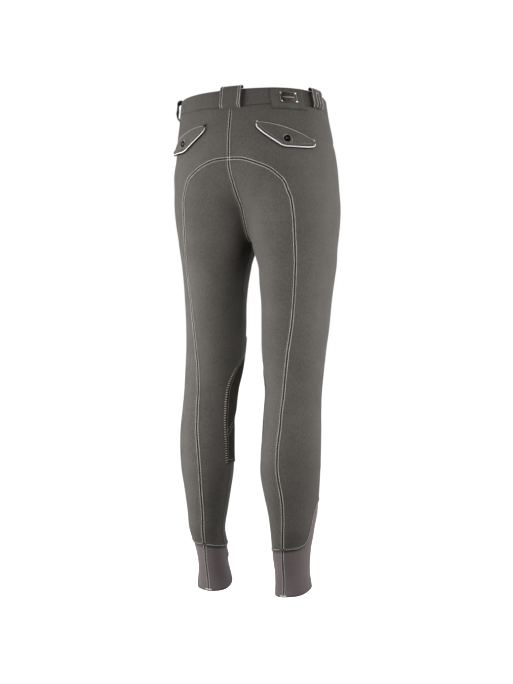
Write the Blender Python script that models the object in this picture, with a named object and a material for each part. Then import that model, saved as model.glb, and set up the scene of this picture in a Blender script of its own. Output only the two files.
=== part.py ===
import math

import bmesh
import bpy
import numpy as np

# Riding breeches worn on an unseen figure: front toward -Y, wearer's left toward +X, +Z up.
# Lengths are in millimetres and become metres when a mesh is made.
MM = 0.001

CLOTH_WALL = 1.8
BAND_WALL = 3.0
PATCH_WALL = 1.2
FLAP_WALL = 2.0
LOOP_WALL = 1.8
HALF_GAP = 0.16
LAY = 0.35
SEAM_FILLET = 10.0
APEX_HEIGHT = -121.0
SEAT_LEVEL = -268.0
ROW_KNEE = -640.0

ROWS_YOKE = 6
ROWS_SEAT = 11
ROWS_LEG = 29
COLUMNS_SEAT = 10
ROWS_CUFF = 6

# One leg with its half of the trunk is a tube round its own upright line, and the two tubes
# run together in the middle plane with a soft hollow of SEAM_FILLET.
SECTION_COLUMNS = (
    "height", "lobe_x", "lobe_y", "half_width", "back", "front", "turn", "back_power", "front_power",
)
SECTIONS = (
    (32.0, 0.0, 2.4, 152.0, 89.5, 109.5, 0.0, 2.2, 2.2),
    (16.0, 0.0, 1.8, 154.5, 92.0, 110.5, 0.0, 2.2, 2.2),
    (0.0, 0.0, 1.0, 156.5, 96.0, 112.0, 0.0, 2.2, 2.2),
    (-31.0, 0.0, -5.0, 160.5, 107.5, 111.0, 0.0, 2.2, 2.1),
    (-72.0, 12.0, -11.0, 155.5, 120.0, 106.0, 0.0, 2.1, 2.1),
    (-105.0, 27.0, -16.0, 144.0, 128.5, 103.0, 0.0, 2.0, 2.2),
    (-138.0, 42.0, -20.0, 132.5, 131.5, 100.0, 1.0, 2.1, 2.2),
    (-171.0, 63.0, -22.0, 111.5, 121.0, 97.0, 3.0, 2.2, 2.3),
    (-204.0, 82.0, -25.0, 93.0, 115.0, 94.0, 4.0, 2.3, 2.3),
    (-240.0, 88.0, -26.0, 86.0, 110.0, 94.0, 7.0, 2.3, 2.15),
    (-268.0, 89.5, -25.0, 81.5, 107.0, 96.0, 9.0, 2.2, 2.05),
    (-285.0, 90.5, -23.5, 78.5, 104.5, 96.0, 10.0, 2.15, 2.0),
    (-336.0, 93.0, -20.0, 69.3, 96.0, 96.0, 12.0, 2.0, 2.0),
    (-398.0, 93.2, -17.0, 62.8, 88.0, 88.0, 12.0, 2.0, 2.0),
    (-460.0, 91.3, -14.5, 61.2, 81.5, 81.5, 12.0, 2.0, 2.0),
    (-502.0, 90.5, -9.5, 60.0, 75.0, 75.0, 12.0, 2.0, 2.0),
    (-543.0, 92.0, -4.5, 59.0, 65.5, 65.5, 12.0, 2.0, 2.0),
    (-584.0, 95.0, 2.0, 55.5, 59.5, 59.5, 12.0, 2.0, 2.0),
    (-625.0, 96.0, 9.5, 55.0, 61.0, 61.0, 13.0, 2.0, 2.0),
    (-667.0, 97.0, 16.0, 55.0, 65.0, 65.0, 14.0, 2.0, 2.0),
    (-708.0, 96.0, 19.0, 55.0, 68.0, 68.0, 15.0, 2.0, 2.0),
    (-749.0, 94.5, 19.0, 53.5, 69.0, 69.0, 16.0, 2.0, 2.0),
    (-790.0, 95.5, 16.0, 47.5, 65.5, 67.0, 16.0, 2.0, 2.0),
    (-832.0, 97.2, 13.5, 41.5, 59.0, 61.0, 16.0, 2.0, 2.0),
    (-873.0, 97.0, 15.5, 36.5, 51.5, 51.5, 16.0, 2.0, 2.0),
    (-914.0, 91.5, 6.5, 33.0, 46.5, 46.5, 16.0, 2.0, 2.0),
    (-956.0, 90.0, -2.0, 32.5, 41.0, 41.0, 16.0, 2.0, 2.0),
    (-980.0, 90.0, -6.0, 36.0, 39.0, 40.0, 16.0, 2.0, 2.0),
    (-1006.0, 90.0, -8.0, 38.0, 39.0, 42.0, 16.0, 2.0, 2.0),
)

# The curved seam from the centre back over the seat and down the back of the leg.
ARCH = (
    # height, angle on the wearer's left leg, angle on the right leg
    (-123.5, 90.0, 90.0),
    (-132.5, 80.4, 80.0),
    (-144.0, 73.2, 70.6),
    (-156.0, 67.6, 66.0),
    (-170.0, 66.0, 63.2),
    (-190.0, 67.2, 64.6),
    (-212.0, 68.8, 65.0),
    (-245.0, 66.8, 62.4),
    (-282.0, 64.2, 59.8),
    (-325.0, 61.2, 58.0),
    (-361.0, 62.4, 58.4),
    (-400.0, 65.6, 59.6),
    (-435.0, 67.6, 60.6),
    (-475.0, 70.2, 62.8),
    (-510.0, 72.6, 65.8),
    (-546.0, 75.4, 69.8),
    (-582.0, 78.6, 74.6),
    (-618.0, 80.6, 76.0),
    (-655.0, 83.4, 75.8),
    (-694.0, 86.4, 76.4),
    (-730.0, 87.6, 74.4),
    (-770.0, 88.0, 71.0),
    (-801.0, 89.0, 69.8),
    (-835.0, 90.8, 71.8),
    (-868.0, 91.4, 73.4),
    (-902.0, 86.4, 74.2),
    (-932.0, 80.6, 75.8),
    (-962.0, 79.0, 77.6),
    (-998.0, 79.6, 83.0),
)

# Heights of the cut edges round the tube: (angle, height), 90 at the back, 0 outside, -90 front.
BAND_TOP = (
    (-100.0, -6.0), (-60.0, -4.5), (-30.0, 0.0), (-7.0, 5.5), (3.0, 9.5), (15.0, 14.0), (27.0, 16.8),
    (40.0, 18.6), (60.0, 19.3), (100.0, 20.0),
)
WAIST_SEAM = (
    (-100.0, -40.0), (-60.0, -36.5), (-30.0, -29.5), (-2.0, -22.5), (5.0, -20.0), (15.0, -17.5),
    (30.0, -15.8), (45.0, -15.2), (60.0, -15.6), (85.0, -18.0), (100.0, -18.0),
)
CUFF_SEAM = (
    (-215.0, -908.0), (-190.0, -909.0), (-165.0, -903.0), (-145.0, -885.0), (-125.0, -858.0),
    (-105.0, -830.0), (-85.0, -812.0), (-62.0, -807.0), (-45.0, -811.0), (-31.0, -820.0),
    (-22.0, -836.0), (-17.0, -857.0), (-11.0, -875.0), (0.0, -889.0), (13.0, -895.0),
    (30.0, -898.5), (60.0, -900.5), (90.0, -902.0), (115.0, -905.5), (145.0, -908.0), (190.0, -909.0),
)
HEM = (
    (-215.0, -993.0), (-190.0, -988.0), (-167.0, -983.5), (-135.0, -980.0), (-100.0, -979.0),
    (-44.0, -983.0), (-13.0, -987.5), (15.0, -993.0), (60.0, -996.5), (85.0, -998.0),
    (111.0, -998.0), (140.0, -996.0), (160.0, -992.5), (175.0, -989.0), (193.0, -983.5),
)
CUFF_ANGLES = (
    82.0, 66.0, 48.0, 31.0, 16.0, 5.0, -4.0, -11.0, -16.0, -20.5, -27.0, -37.0, -50.0, -66.0,
    -84.0, -102.0, -120.0, -137.0, -154.0, -172.0, -190.0,
)

# Soft folds pressed into the cloth: the middle, the reach along and across, the slope, the rise.
FOLD_COLUMNS = ("angle", "height", "reach", "breadth", "slope", "rise")
FOLDS = (
    (150.0, -306.0, 46.0, 15.0, -32.0, 1.6),
    (140.0, -338.0, 52.0, 16.0, -26.0, -1.4),
    (120.0, -372.0, 60.0, 18.0, -20.0, 0.9),
    (96.0, -556.0, 26.0, 14.0, 9.0, 1.1),
    (92.0, -588.0, 28.0, 14.0, -6.0, -1.3),
    (97.0, -618.0, 26.0, 15.0, 5.0, 1.0),
    (-70.0, -330.0, 60.0, 18.0, 24.0, 1.2),
    (-110.0, -300.0, 55.0, 17.0, 34.0, -1.4),
    (-80.0, -880.0, 30.0, 13.0, 6.0, 1.2),
    (176.0, -934.0, 28.0, 12.0, -5.0, -1.2),
    (172.0, -958.0, 26.0, 12.0, 6.0, 1.0),
)

# Back pocket flaps: (share along the flap, angle, height) of the sewn edge and of the free edge.
FLAP_TOP = (
    (0.0, 63.5, -48.5), (0.25, 54.0, -52.0), (0.5, 43.5, -59.5), (0.75, 33.0, -71.0), (1.0, 21.5, -85.0),
)
FLAP_EDGE = (
    (0.0, 64.8, -61.0), (0.1, 62.2, -70.5), (0.2, 57.5, -82.5), (0.32, 51.4, -97.6), (0.38, 47.8, -99.6),
    (0.55, 39.5, -99.9), (0.8, 29.5, -99.6), (0.93, 24.4, -97.4), (1.0, 22.6, -92.0),
)
FLAP_LIFT_LEFT = 5.0
FLAP_LIFT_RIGHT = 2.2
FLAP_RISE_LEFT = 6.0

KNEE_PATCH = (
    # height, back edge angle, front edge angle
    (-475.0, 203.0, 222.0),
    (-490.0, 197.0, 233.0),
    (-509.0, 184.0, 245.0),
    (-528.0, 160.0, 256.0),
    (-545.0, 147.5, 263.0),
    (-565.0, 141.0, 267.0),
    (-600.0, 138.0, 269.0),
    (-640.0, 138.2, 268.0),
    (-687.0, 141.4, 265.0),
    (-734.0, 142.0, 262.0),
)
KNEE_PATCH_ROWS = (
    -475.0, -486.0, -497.0, -507.0, -516.0, -525.0, -534.0, -544.0, -556.0, -572.0, -595.0,
    -618.0, -641.0, -664.0, -687.0, -711.0, -734.0,
)

KNEE_PATCH_LIFT = 0.65

LABEL_FROM = 47.4
LABEL_TO = 20.2
LABEL_BELOW = (-24.5, -27.5)
PLATE_SIZE = (36.0, 22.0)
PLATE_ANGLE = 32.6
PLATE_HEIGHT = -2.4
PLATE_FALL = 1.5

BUTTON_PROFILE = (
    # radius, height off the cloth below
    (4.0, 1.5),
    (5.0, 2.3),
    (6.4, 2.3),
    (7.0, 1.4),
    (6.3, 0.0),
)
FLAP_BUTTON = (45.0, -85.5)
FLAP_BUTTON_SHARE = 0.68
FLAP_BUTTON_RISE_LEFT = 3.5
WAIST_BUTTON_HEIGHT = -22.0
WAIST_BUTTON_ACROSS = 17.0

LOOP_PROFILE = (
    # distance off the band, share of the band height (1 at the top edge), extra height
    (-1.5, 1.0, 0.38),
    (-0.6, 1.0, 4.2),
    (3.6, 1.0, 5.0),
    (7.6, 1.0, 2.2),
    (8.6, 0.6, 0.0),
    (8.3, 0.12, 0.0),
    (4.4, 0.0, -0.6),
    (0.7, 0.0, -1.0),
)
LOOPS = (
    # name, side, angle of the middle, width
    ("belt_loop_rear_left", 1, 13.4, 11.0),
    ("belt_loop_rear_right", -1, 13.4, 11.0),
    ("belt_loop_side_left", 1, 8.6, 11.0),
    ("belt_loop_side_right", -1, 8.6, 11.0),
    ("belt_loop_front_left", 1, -58.0, 11.0),
    ("belt_loop_front_right", -1, -58.0, 11.0),
)
BACK_LOOP_WIDTH = 46.0

FLY_HALF_WIDTH = 22.0
FLY_DEPTH = -165.0
TAB_LENGTH = 32.0

CLOTH_COLOUR = (0.085, 0.082, 0.075, 1.0)
CUFF_COLOUR = (0.11, 0.10, 0.10, 1.0)
PATCH_COLOUR = (0.055, 0.048, 0.042, 1.0)
PIPING_COLOUR = (0.62, 0.61, 0.60, 1.0)
BUTTON_COLOUR = (0.02, 0.02, 0.02, 1.0)
METAL_COLOUR = (0.30, 0.24, 0.20, 1.0)


def curve(xs, ys, x):
    """Smooth value at x of the curve through the points (xs, ys), xs rising."""
    xs = np.asarray(xs, float)
    ys = np.asarray(ys, float)
    slopes = np.gradient(ys, xs)
    low = np.clip(np.searchsorted(xs, x) - 1, 0, len(xs) - 2)
    step = xs[low + 1] - xs[low]
    t = (x - xs[low]) / step
    return (
        (1 + 2 * t) * (1 - t) ** 2 * ys[low]
        + t * (1 - t) ** 2 * step * slopes[low]
        + t * t * (3 - 2 * t) * ys[low + 1]
        + t * t * (t - 1) * step * slopes[low + 1]
    )


def column_at(name, height):
    table = np.array(SECTIONS[::-1])
    return curve(table[:, 0], table[:, SECTION_COLUMNS.index(name)], height)


def edge_height(table, angle):
    """Height of a cut edge at an angle in radians."""
    table = np.array(table)
    return curve(table[:, 0], table[:, 1], np.degrees(angle))


def tube_radius(angle, height):
    behind = np.sin(angle) > 0
    depth = np.where(behind, column_at("back", height), column_at("front", height))
    power = np.where(behind, column_at("back_power", height), column_at("front_power", height))
    width = column_at("half_width", height)
    across = (np.abs(np.cos(angle)) / width) ** power
    along = (np.abs(np.sin(angle)) / depth) ** power
    return (across + along) ** (-1 / power)


def tube(angle, height):
    radius = tube_radius(angle, height)
    course = angle + np.radians(column_at("turn", height))
    x = column_at("lobe_x", height) + radius * np.cos(course)
    y = column_at("lobe_y", height) + radius * np.sin(course)
    return x, y


def tube_gap(x, y, z):
    """Distance outside the tube, with both tubes run together at the middle plane."""
    across = np.sqrt(x * x + SEAM_FILLET**2) - column_at("lobe_x", z)
    along = y - column_at("lobe_y", z)
    angle = np.arctan2(along, across) - np.radians(column_at("turn", z))
    return np.hypot(across, along) - tube_radius(angle, z)


def unit(vectors):
    return vectors / np.maximum(np.linalg.norm(vectors, axis=-1, keepdims=True), 1e-12)


def outward(points):
    """Direction straight out of the garment at each point."""
    x, y, z = np.moveaxis(points, -1, 0)
    step = 0.4
    slope = (
        tube_gap(x + step, y, z) - tube_gap(x - step, y, z),
        tube_gap(x, y + step, z) - tube_gap(x, y - step, z),
        tube_gap(x, y, z + step) - tube_gap(x, y, z - step),
    )
    return unit(np.stack(slope, -1))


def fold_rise(angle, height):
    """Sum of the folds at a place, each a long soft hump lying on its slope."""
    rise = np.zeros(np.broadcast(angle, height).shape)
    for row in FOLDS:
        fold = dict(zip(FOLD_COLUMNS, row))
        turn = (np.degrees(angle) - fold["angle"] + 180) % 360 - 180
        u = np.radians(turn) * 62.0
        v = height - fold["height"]
        slope = math.radians(fold["slope"])
        along = u * math.cos(slope) + v * math.sin(slope)
        across = v * math.cos(slope) - u * math.sin(slope)
        rise = rise + fold["rise"] * np.exp(-((along / fold["reach"]) ** 2) - (across / fold["breadth"]) ** 2)
    return rise


def cloth(angle, height, side=1, lift=0.0):
    """Point on the cloth, the direction out of it, moved out by lift."""
    angle, height = np.broadcast_arrays(np.asarray(angle, float), np.asarray(height, float))
    x, y = tube(angle, height)
    spread = np.maximum(x * x - SEAM_FILLET**2, 0.0)
    base = np.stack([np.sqrt(spread), y, height], -1)
    direction = outward(base)
    middle = np.clip(np.sqrt(spread) / 25.0, 0, 1)
    rise = fold_rise(angle, height) * middle
    points = base + direction * (rise + lift)[..., None]
    mirror = np.array([side, 1.0, 1.0])
    return points * mirror, direction * mirror


def innermost_angle(height):
    height = np.asarray(height, float)
    low = np.full(height.shape, math.radians(110))
    high = np.full(height.shape, math.radians(230))
    for _ in range(50):
        third = (high - low) / 3
        nearer = tube(low + third, height)[0] < tube(high - third, height)[0]
        high = np.where(nearer, high - third, high)
        low = np.where(nearer, low, low + third)
    return (low + high) / 2


def end_angle(height, start, across=0.0):
    """Angle, from start toward the innermost line, where the cloth stands across from the middle."""
    height = np.asarray(height, float)
    outside = np.full(height.shape, math.radians(start))
    inside = innermost_angle(height)
    reach = np.sqrt(np.asarray(across, float) ** 2 + SEAM_FILLET**2)
    for _ in range(50):
        middle = (outside + inside) / 2
        clear = tube(middle, height)[0] > reach
        outside = np.where(clear, middle, outside)
        inside = np.where(clear, inside, middle)
    return (outside + inside) / 2


def back_end(height, across=0.0):
    return end_angle(height, 40, across)


def front_end(height, across=0.0):
    return end_angle(height, 320, across) - 2 * math.pi


def angle_at(share, height):
    """Angle at a share of the way from the centre back (0) round the outside to the front (1)."""
    back = back_end(height)
    return back + (front_end(height) - back) * share


def share_at(angle, height):
    back = back_end(height)
    return (back - angle) / (back - front_end(height))


def crotch_height():
    heights = np.linspace(-250, -320, 1401)
    reach = tube(innermost_angle(heights), heights)[0]
    return float(heights[np.argmax(reach > SEAM_FILLET)])


def spaced(angle, height, count):
    """Split a line on the cloth into count equal steps by length."""
    points = cloth(angle, height)[0]
    steps = np.linalg.norm(np.diff(points, axis=0), axis=1)
    length = np.concatenate([[0], np.cumsum(steps)])
    marks = np.linspace(0, length[-1], count + 1)
    return np.interp(marks, length, angle), np.interp(marks, length, height)


def arch_line(side):
    """Angles and heights of the curved seam from the centre back to the hem, finely sampled."""
    rows = [(APEX_HEIGHT, math.degrees(back_end(APEX_HEIGHT)))]
    rows += [(row[0], row[1] if side > 0 else row[2]) for row in ARCH]
    height, angle = np.array(rows).T
    points = cloth(np.radians(angle), height)[0]
    steps = np.linalg.norm(np.diff(points, axis=0), axis=1)
    length = np.concatenate([[0], np.cumsum(steps)])
    fine = np.linspace(0, length[-1], 1200)
    return np.radians(curve(length, angle, fine)), curve(length, height, fine)


def seam_rows(side):
    """Ends of every panel row: back seam, front seam and, for the seat, centre back and inseam."""
    crotch = crotch_height()
    arch_angle, arch_height = arch_line(side)
    foot = edge_height(CUFF_SEAM, arch_angle) - arch_height
    last = int(np.argmax((foot > 0) & (arch_height < -800)))
    turn = int(np.argmax(arch_height < SEAT_LEVEL))
    back_top = float(edge_height(WAIST_SEAM, math.pi / 2))
    yoke = spaced(*on_middle(np.linspace(back_top, APEX_HEIGHT, 200), 1), ROWS_YOKE)
    over =spaced(arch_angle[: turn + 1], arch_height[: turn + 1], ROWS_SEAT)
    down = spaced(arch_angle[turn : last + 1], arch_height[turn : last + 1], ROWS_LEG)
    back = [np.concatenate([yoke[k], over[k][1:], down[k][1:]]) for k in (0, 1)]
    front_top = float(edge_height(WAIST_SEAM, -math.pi / 2))
    front = spaced(*on_middle(np.linspace(front_top, crotch, 400), -1), ROWS_YOKE + ROWS_SEAT)
    rise = spaced(*on_middle(np.linspace(APEX_HEIGHT, crotch, 400), 1), ROWS_SEAT)
    foot_inside = float(edge_height(CUFF_SEAM, innermost_angle(-909.0)))
    inside = np.linspace(crotch, foot_inside, ROWS_LEG + 1)[1:]
    inseam = innermost_angle(inside)
    front = [np.concatenate([front[0], inseam - 2 * math.pi]), np.concatenate([front[1], inside])]
    rise = [np.concatenate([rise[0], inseam]), np.concatenate([rise[1], inside])]
    return back, front, rise


def on_middle(height, way):
    return (back_end(height) if way > 0 else front_end(height)), height


def level_edge(heights, angles, table, weight):
    """Bring the last or first row onto its cut edge, easing off over the other rows."""
    row = -1 if weight[-1] > 0 else 0
    share = np.linspace(0, 1, heights.shape[1])
    wanted = edge_height(table, angles[row])
    slip = wanted - heights[row]
    slip = slip - (slip[0] * (1 - share) + slip[-1] * share)
    return heights + weight[:, None] * slip[None, :]


def outer_grid(side):
    """Angles and heights of the outer panel: waist to cuff, back seam round the outside to the front."""
    back, front, _ = seam_rows(side)
    rows = len(back[0])
    at_cuff = (CUFF_ANGLES[0] - np.array(CUFF_ANGLES)) / (CUFF_ANGLES[0] - CUFF_ANGLES[-1])
    evenly = np.linspace(0, 1, len(at_cuff))
    blend = np.clip((np.arange(rows) / (rows - 1) - 0.35) / 0.45, 0, 1) ** 2
    u = evenly[None, :] + (at_cuff - evenly)[None, :] * blend[:, None]
    share_back = share_at(back[0], back[1])
    share_front = np.ones(rows)
    share = share_back[:, None] * (1 - u) + share_front[:, None] * u
    heights = back[1][:, None] * (1 - u) + front[1][:, None] * u
    angles = angle_at(share, heights)
    top = np.clip(1 - np.arange(rows) / 8.0, 0, 1) ** 1.3
    heights = level_edge(heights, angles, WAIST_SEAM, top)
    count = np.count_nonzero(back[1] < ROW_KNEE)
    low = np.clip((np.arange(rows) - (rows - 1 - count)) / count, 0, 1) ** 1.4
    heights = level_edge(heights, angle_at(share, heights), CUFF_SEAM, low)
    return angle_at(share, heights), heights, share


def seat_grid(side):
    """Angles and heights of the seat and back leg panel, from the arch to the middle and inseam."""
    back, _, rise = seam_rows(side)
    first = ROWS_YOKE
    u = np.linspace(0, 1, COLUMNS_SEAT + 1)
    share_back = share_at(back[0][first:], back[1][first:])
    share = share_back[:, None] * (1 - u)[None, :]
    heights = back[1][first:, None] * (1 - u) + rise[1][:, None] * u
    rows = len(heights)
    count = np.count_nonzero(back[1] < ROW_KNEE)
    low = np.clip((np.arange(rows) - (rows - 1 - count)) / count, 0, 1) ** 1.4
    heights = level_edge(heights, angle_at(share, heights), CUFF_SEAM, low)
    return angle_at(share, heights), heights


def loop_cells(rows, columns, collapsed):
    """Grid places round the border of a panel, in order."""
    top = [(0, 0)] if collapsed else [(0, i) for i in range(columns)]
    right = [(j, columns - 1) for j in range(1, rows)]
    bottom = [(rows - 1, i) for i in range(columns - 2, -1, -1)]
    left = [(j, 0) for j in range(rows - 2, 0, -1)]
    return top + right + bottom + left


def trim(points, directions, amount, collapsed=False):
    """Move the border of a grid inward along the cloth by the amount."""
    cells = loop_cells(points.shape[0], points.shape[1], collapsed)
    rows, columns = np.array(cells).T
    border = points[rows, columns]
    out = directions[rows, columns]
    before = unit(border - np.roll(border, 1, axis=0))
    after = unit(np.roll(border, -1, axis=0) - border)
    first = unit(np.cross(out, before))
    second = unit(np.cross(out, after))
    row = points.shape[0] // 2
    if np.dot(first[cells.index((row, 0))], points[row, 1] - points[row, 0]) < 0:
        first, second = -first, -second
    even = np.maximum(1 + np.sum(first * second, -1, keepdims=True), 0.35)
    trimmed = points.copy()
    trimmed[rows, columns] = border + amount * (first + second) / even
    if collapsed:
        trimmed[0, :] = trimmed[0, 0]
    return trimmed


def add_mesh(name, vertices, faces, colour, metallic=0.0, roughness=0.8):
    mesh = bpy.data.meshes.new(name)
    body = bmesh.new()
    corners = [body.verts.new(tuple(float(c) * MM for c in vertex)) for vertex in vertices]
    for face in faces:
        kept = []
        for corner in face:
            if corner not in kept:
                kept.append(corner)
        if len(kept) > 2:
            body.faces.new([corners[k] for k in kept])
    bmesh.ops.triangulate(body, faces=body.faces[:], quad_method="SHORT_EDGE")
    bmesh.ops.recalc_face_normals(body, faces=body.faces[:])
    body.to_mesh(mesh)
    body.free()
    piece = bpy.data.objects.new(name, mesh)
    bpy.context.scene.collection.objects.link(piece)
    material = bpy.data.materials.new(name)
    material.use_nodes = True
    shader = material.node_tree.nodes["Principled BSDF"]
    shader.inputs["Base Color"].default_value = colour
    shader.inputs["Metallic"].default_value = metallic
    shader.inputs["Roughness"].default_value = roughness
    mesh.materials.append(material)
    return piece


def shell(name, outside, inside, colour, collapsed=False, metallic=0.0, roughness=0.8):
    """Closed body between two grids of the same size, joined round the border."""
    rows, columns = outside.shape[:2]
    ids = np.arange(rows * columns).reshape(rows, columns)
    if collapsed:
        ids[0, :] = 0
    total = rows * columns
    faces = []
    for j in range(rows - 1):
        for i in range(columns - 1):
            quad = (ids[j, i], ids[j, i + 1], ids[j + 1, i + 1], ids[j + 1, i])
            faces.append(quad)
            faces.append(tuple(k + total for k in reversed(quad)))
    cells = loop_cells(rows, columns, collapsed)
    for k, cell in enumerate(cells):
        a = ids[cell]
        b = ids[cells[(k + 1) % len(cells)]]
        faces.append((b, a, a + total, b + total))
    vertices = np.concatenate([outside.reshape(-1, 3), inside.reshape(-1, 3)])
    used = sorted({int(k) for face in faces for k in face})
    place = {k: n for n, k in enumerate(used)}
    faces = [tuple(place[int(k)] for k in face) for face in faces]
    return add_mesh(name, vertices[used], faces, colour, metallic, roughness)


def panel(name, angles, heights, side, colour, wall, lift=0.0, gap=HALF_GAP, collapsed=False):
    points, directions = cloth(angles, heights, side, lift)
    points = trim(points, directions, gap, collapsed)
    return shell(name, points, points - directions * wall, colour, collapsed)


def side_name(side):
    return "left" if side > 0 else "right"


def build_panels(side):
    angles, heights, share = outer_grid(side)
    panel("outer_panel_" + side_name(side), angles, heights, side, CLOTH_COLOUR, CLOTH_WALL)
    seat_angles, seat_heights = seat_grid(side)
    panel(
        "seat_panel_" + side_name(side), seat_angles, seat_heights, side, CLOTH_COLOUR, CLOTH_WALL,
        collapsed=True,
    )
    build_cuff(side, angles[-1], heights[-1], seat_angles[-1], seat_heights[-1])
    build_band(side, share[0], heights[0])


def build_cuff(side, outer_angles, outer_heights, seat_angles, seat_heights):
    """Cuff from under the cloth to the hem, closed at the back seam."""
    around = np.concatenate([outer_angles, seat_angles[-2::-1] - 2 * math.pi])
    top = np.concatenate([outer_heights, seat_heights[-2::-1]])
    arch_angle, arch_height = arch_line(side)
    start = math.radians(HEM[0][0])
    hem = edge_height(HEM, (around - start) % (2 * math.pi) + start)
    t = np.linspace(0, 1, ROWS_CUFF + 1)[:, None]
    heights = top[None, :] * (1 - t) + hem[None, :] * t
    ends = heights[:, 0]
    seam = np.interp(-ends, -arch_height, arch_angle)
    drift = seam - around[0]
    angles = around[None, :] + drift[:, None]
    inset = -1.2 * np.exp(-((heights - top[None, :]) / 60.0) ** 2) - 0.2
    points, directions = cloth(angles, heights, side, inset)
    points = trim(points, directions, HALF_GAP)
    shell("cuff_" + side_name(side), points, points - directions * CLOTH_WALL, CUFF_COLOUR)


def build_band(side, share, seam):
    """Half of the waistband, centre back to centre front; the left one runs on over the right."""
    rim = edge_height(BAND_TOP, angle_at(share, np.zeros(share.shape)))
    t = np.array([0.0, 0.5, 1.0])[:, None]
    heights = rim[None, :] * (1 - t) + seam[None, :] * t
    angles = angle_at(np.broadcast_to(share, heights.shape), heights)
    points, directions = cloth(angles, heights, side)
    if side > 0:
        over = BAND_WALL + LAY
        keep = int(np.count_nonzero(points[1, :, 0] > 20.0))
        points, directions = points[:, :keep], directions[:, :keep]
        ends = (
            (1, (13.0, 9.0, 5.0, 1.5), (0.0, 0.9, 2.5, over)),
            (-1, (10.0, 21.0, TAB_LENGTH), (over, over, over)),
        )
        for way, across, lift in ends:
            level = np.broadcast_to(heights[:, -1:], (3, len(across)))
            turned_angle = front_end(level, np.broadcast_to(across, level.shape))
            more, out = cloth(turned_angle, level, way, np.broadcast_to(lift, level.shape))
            points = np.concatenate([points, more], axis=1)
            directions = np.concatenate([directions, out], axis=1)
    points = trim(points, directions, HALF_GAP)
    shell("waistband_" + side_name(side), points, points - directions * BAND_WALL, CLOTH_COLOUR)


def strap(name, base, directions, colour):
    """Belt loop: the profile carried along the columns of the band it stands on."""
    profile = np.array([row[0] for row in LOOP_PROFILE])
    heights = base[..., 2]
    level = unit(directions * np.array([1.0, 1.0, 0.0]))
    flat = np.stack([np.broadcast_to(profile[:, None], heights.shape), heights], -1)
    along = unit(np.gradient(flat, axis=0))
    normal = np.stack([along[..., 1], -along[..., 0]], -1) * LOOP_WALL / 2
    sides = []
    for sign in (1, -1):
        moved = flat + sign * normal
        points = base + level * moved[..., 0:1]
        points[..., 2] = moved[..., 1]
        sides.append(points)
    return shell(name, sides[0], sides[1], colour)


def reach_per_turn(middle):
    """Millimetres of band for each radian round it, at an angle in degrees."""
    pair = cloth(np.radians([middle - 2, middle + 2]), np.zeros(2))[0]
    return float(np.linalg.norm(pair[1] - pair[0]) / math.radians(4))


def build_loops():
    share = np.array([row[1] for row in LOOP_PROFILE])[:, None]
    extra = np.array([row[2] for row in LOOP_PROFILE])[:, None]
    across = np.linspace(-BACK_LOOP_WIDTH / 2, BACK_LOOP_WIDTH / 2, 5)
    rim = float(edge_height(BAND_TOP, math.radians(88)))
    seam = float(edge_height(WAIST_SEAM, math.radians(88)))
    heights = seam + (rim - seam) * share + extra + np.zeros((1, 5))
    angles = back_end(heights, np.broadcast_to(np.abs(across), heights.shape))
    points, directions = cloth(angles, heights)
    mirror = np.where(across < 0, -1.0, 1.0)[None, :]
    points[..., 0] *= mirror
    directions[..., 0] *= mirror
    strap("belt_loop_back", points, directions, CLOTH_COLOUR)
    for name, side, middle, width in LOOPS:
        angles = math.radians(middle) + np.linspace(-0.5, 0.5, 3) * width / reach_per_turn(middle)
        rim = edge_height(BAND_TOP, angles)[None, :]
        seam = edge_height(WAIST_SEAM, angles)[None, :]
        heights = seam + (rim - seam) * share + extra
        points, directions = cloth(np.broadcast_to(angles, heights.shape), heights, side)
        strap(name, points, directions, CLOTH_COLOUR)


def flap_lines(side, count):
    """Angle and height of the sewn and the free edge of a flap."""
    lift = FLAP_RISE_LEFT if side > 0 else 0.0
    lines = []
    u = np.linspace(0, 1, count)
    for table, smooth in ((FLAP_TOP, True), (FLAP_EDGE, False)):
        mark, angle, height = np.array(table).T
        angle = curve(mark, angle, u) if smooth else np.interp(u, mark, angle)
        height = curve(mark, height, u) if smooth else np.interp(u, mark, height)
        lines.append((np.radians(angle), height + lift * u * (1.5 - u)))
    return lines


def build_flaps(side):
    u_marks = np.array([0.0, 0.1, 0.2, 0.32, 0.38, 0.48, 0.58, 0.7, 0.82, 0.93, 1.0])
    top, edge = flap_lines(side, 101)
    place = np.round(u_marks * 100).astype(int)
    t = np.array([0.0, 0.35, 0.7, 1.0])[:, None]
    angles = top[0][place] * (1 - t) + edge[0][place] * t
    heights = top[1][place] * (1 - t) + edge[1][place] * t
    free = FLAP_LIFT_LEFT if side > 0 else FLAP_LIFT_RIGHT
    outer = u_marks[None, :] if side > 0 else np.ones((1, len(u_marks)))
    lift = LAY + FLAP_WALL + free * t**1.5 * (0.25 + 0.75 * outer)
    points, directions = cloth(angles, heights, side, lift)
    shell("pocket_flap_" + side_name(side), points, points - directions * FLAP_WALL, CLOTH_COLOUR)
    build_piping(side, edge, top)
    build_flap_button(side)


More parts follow.
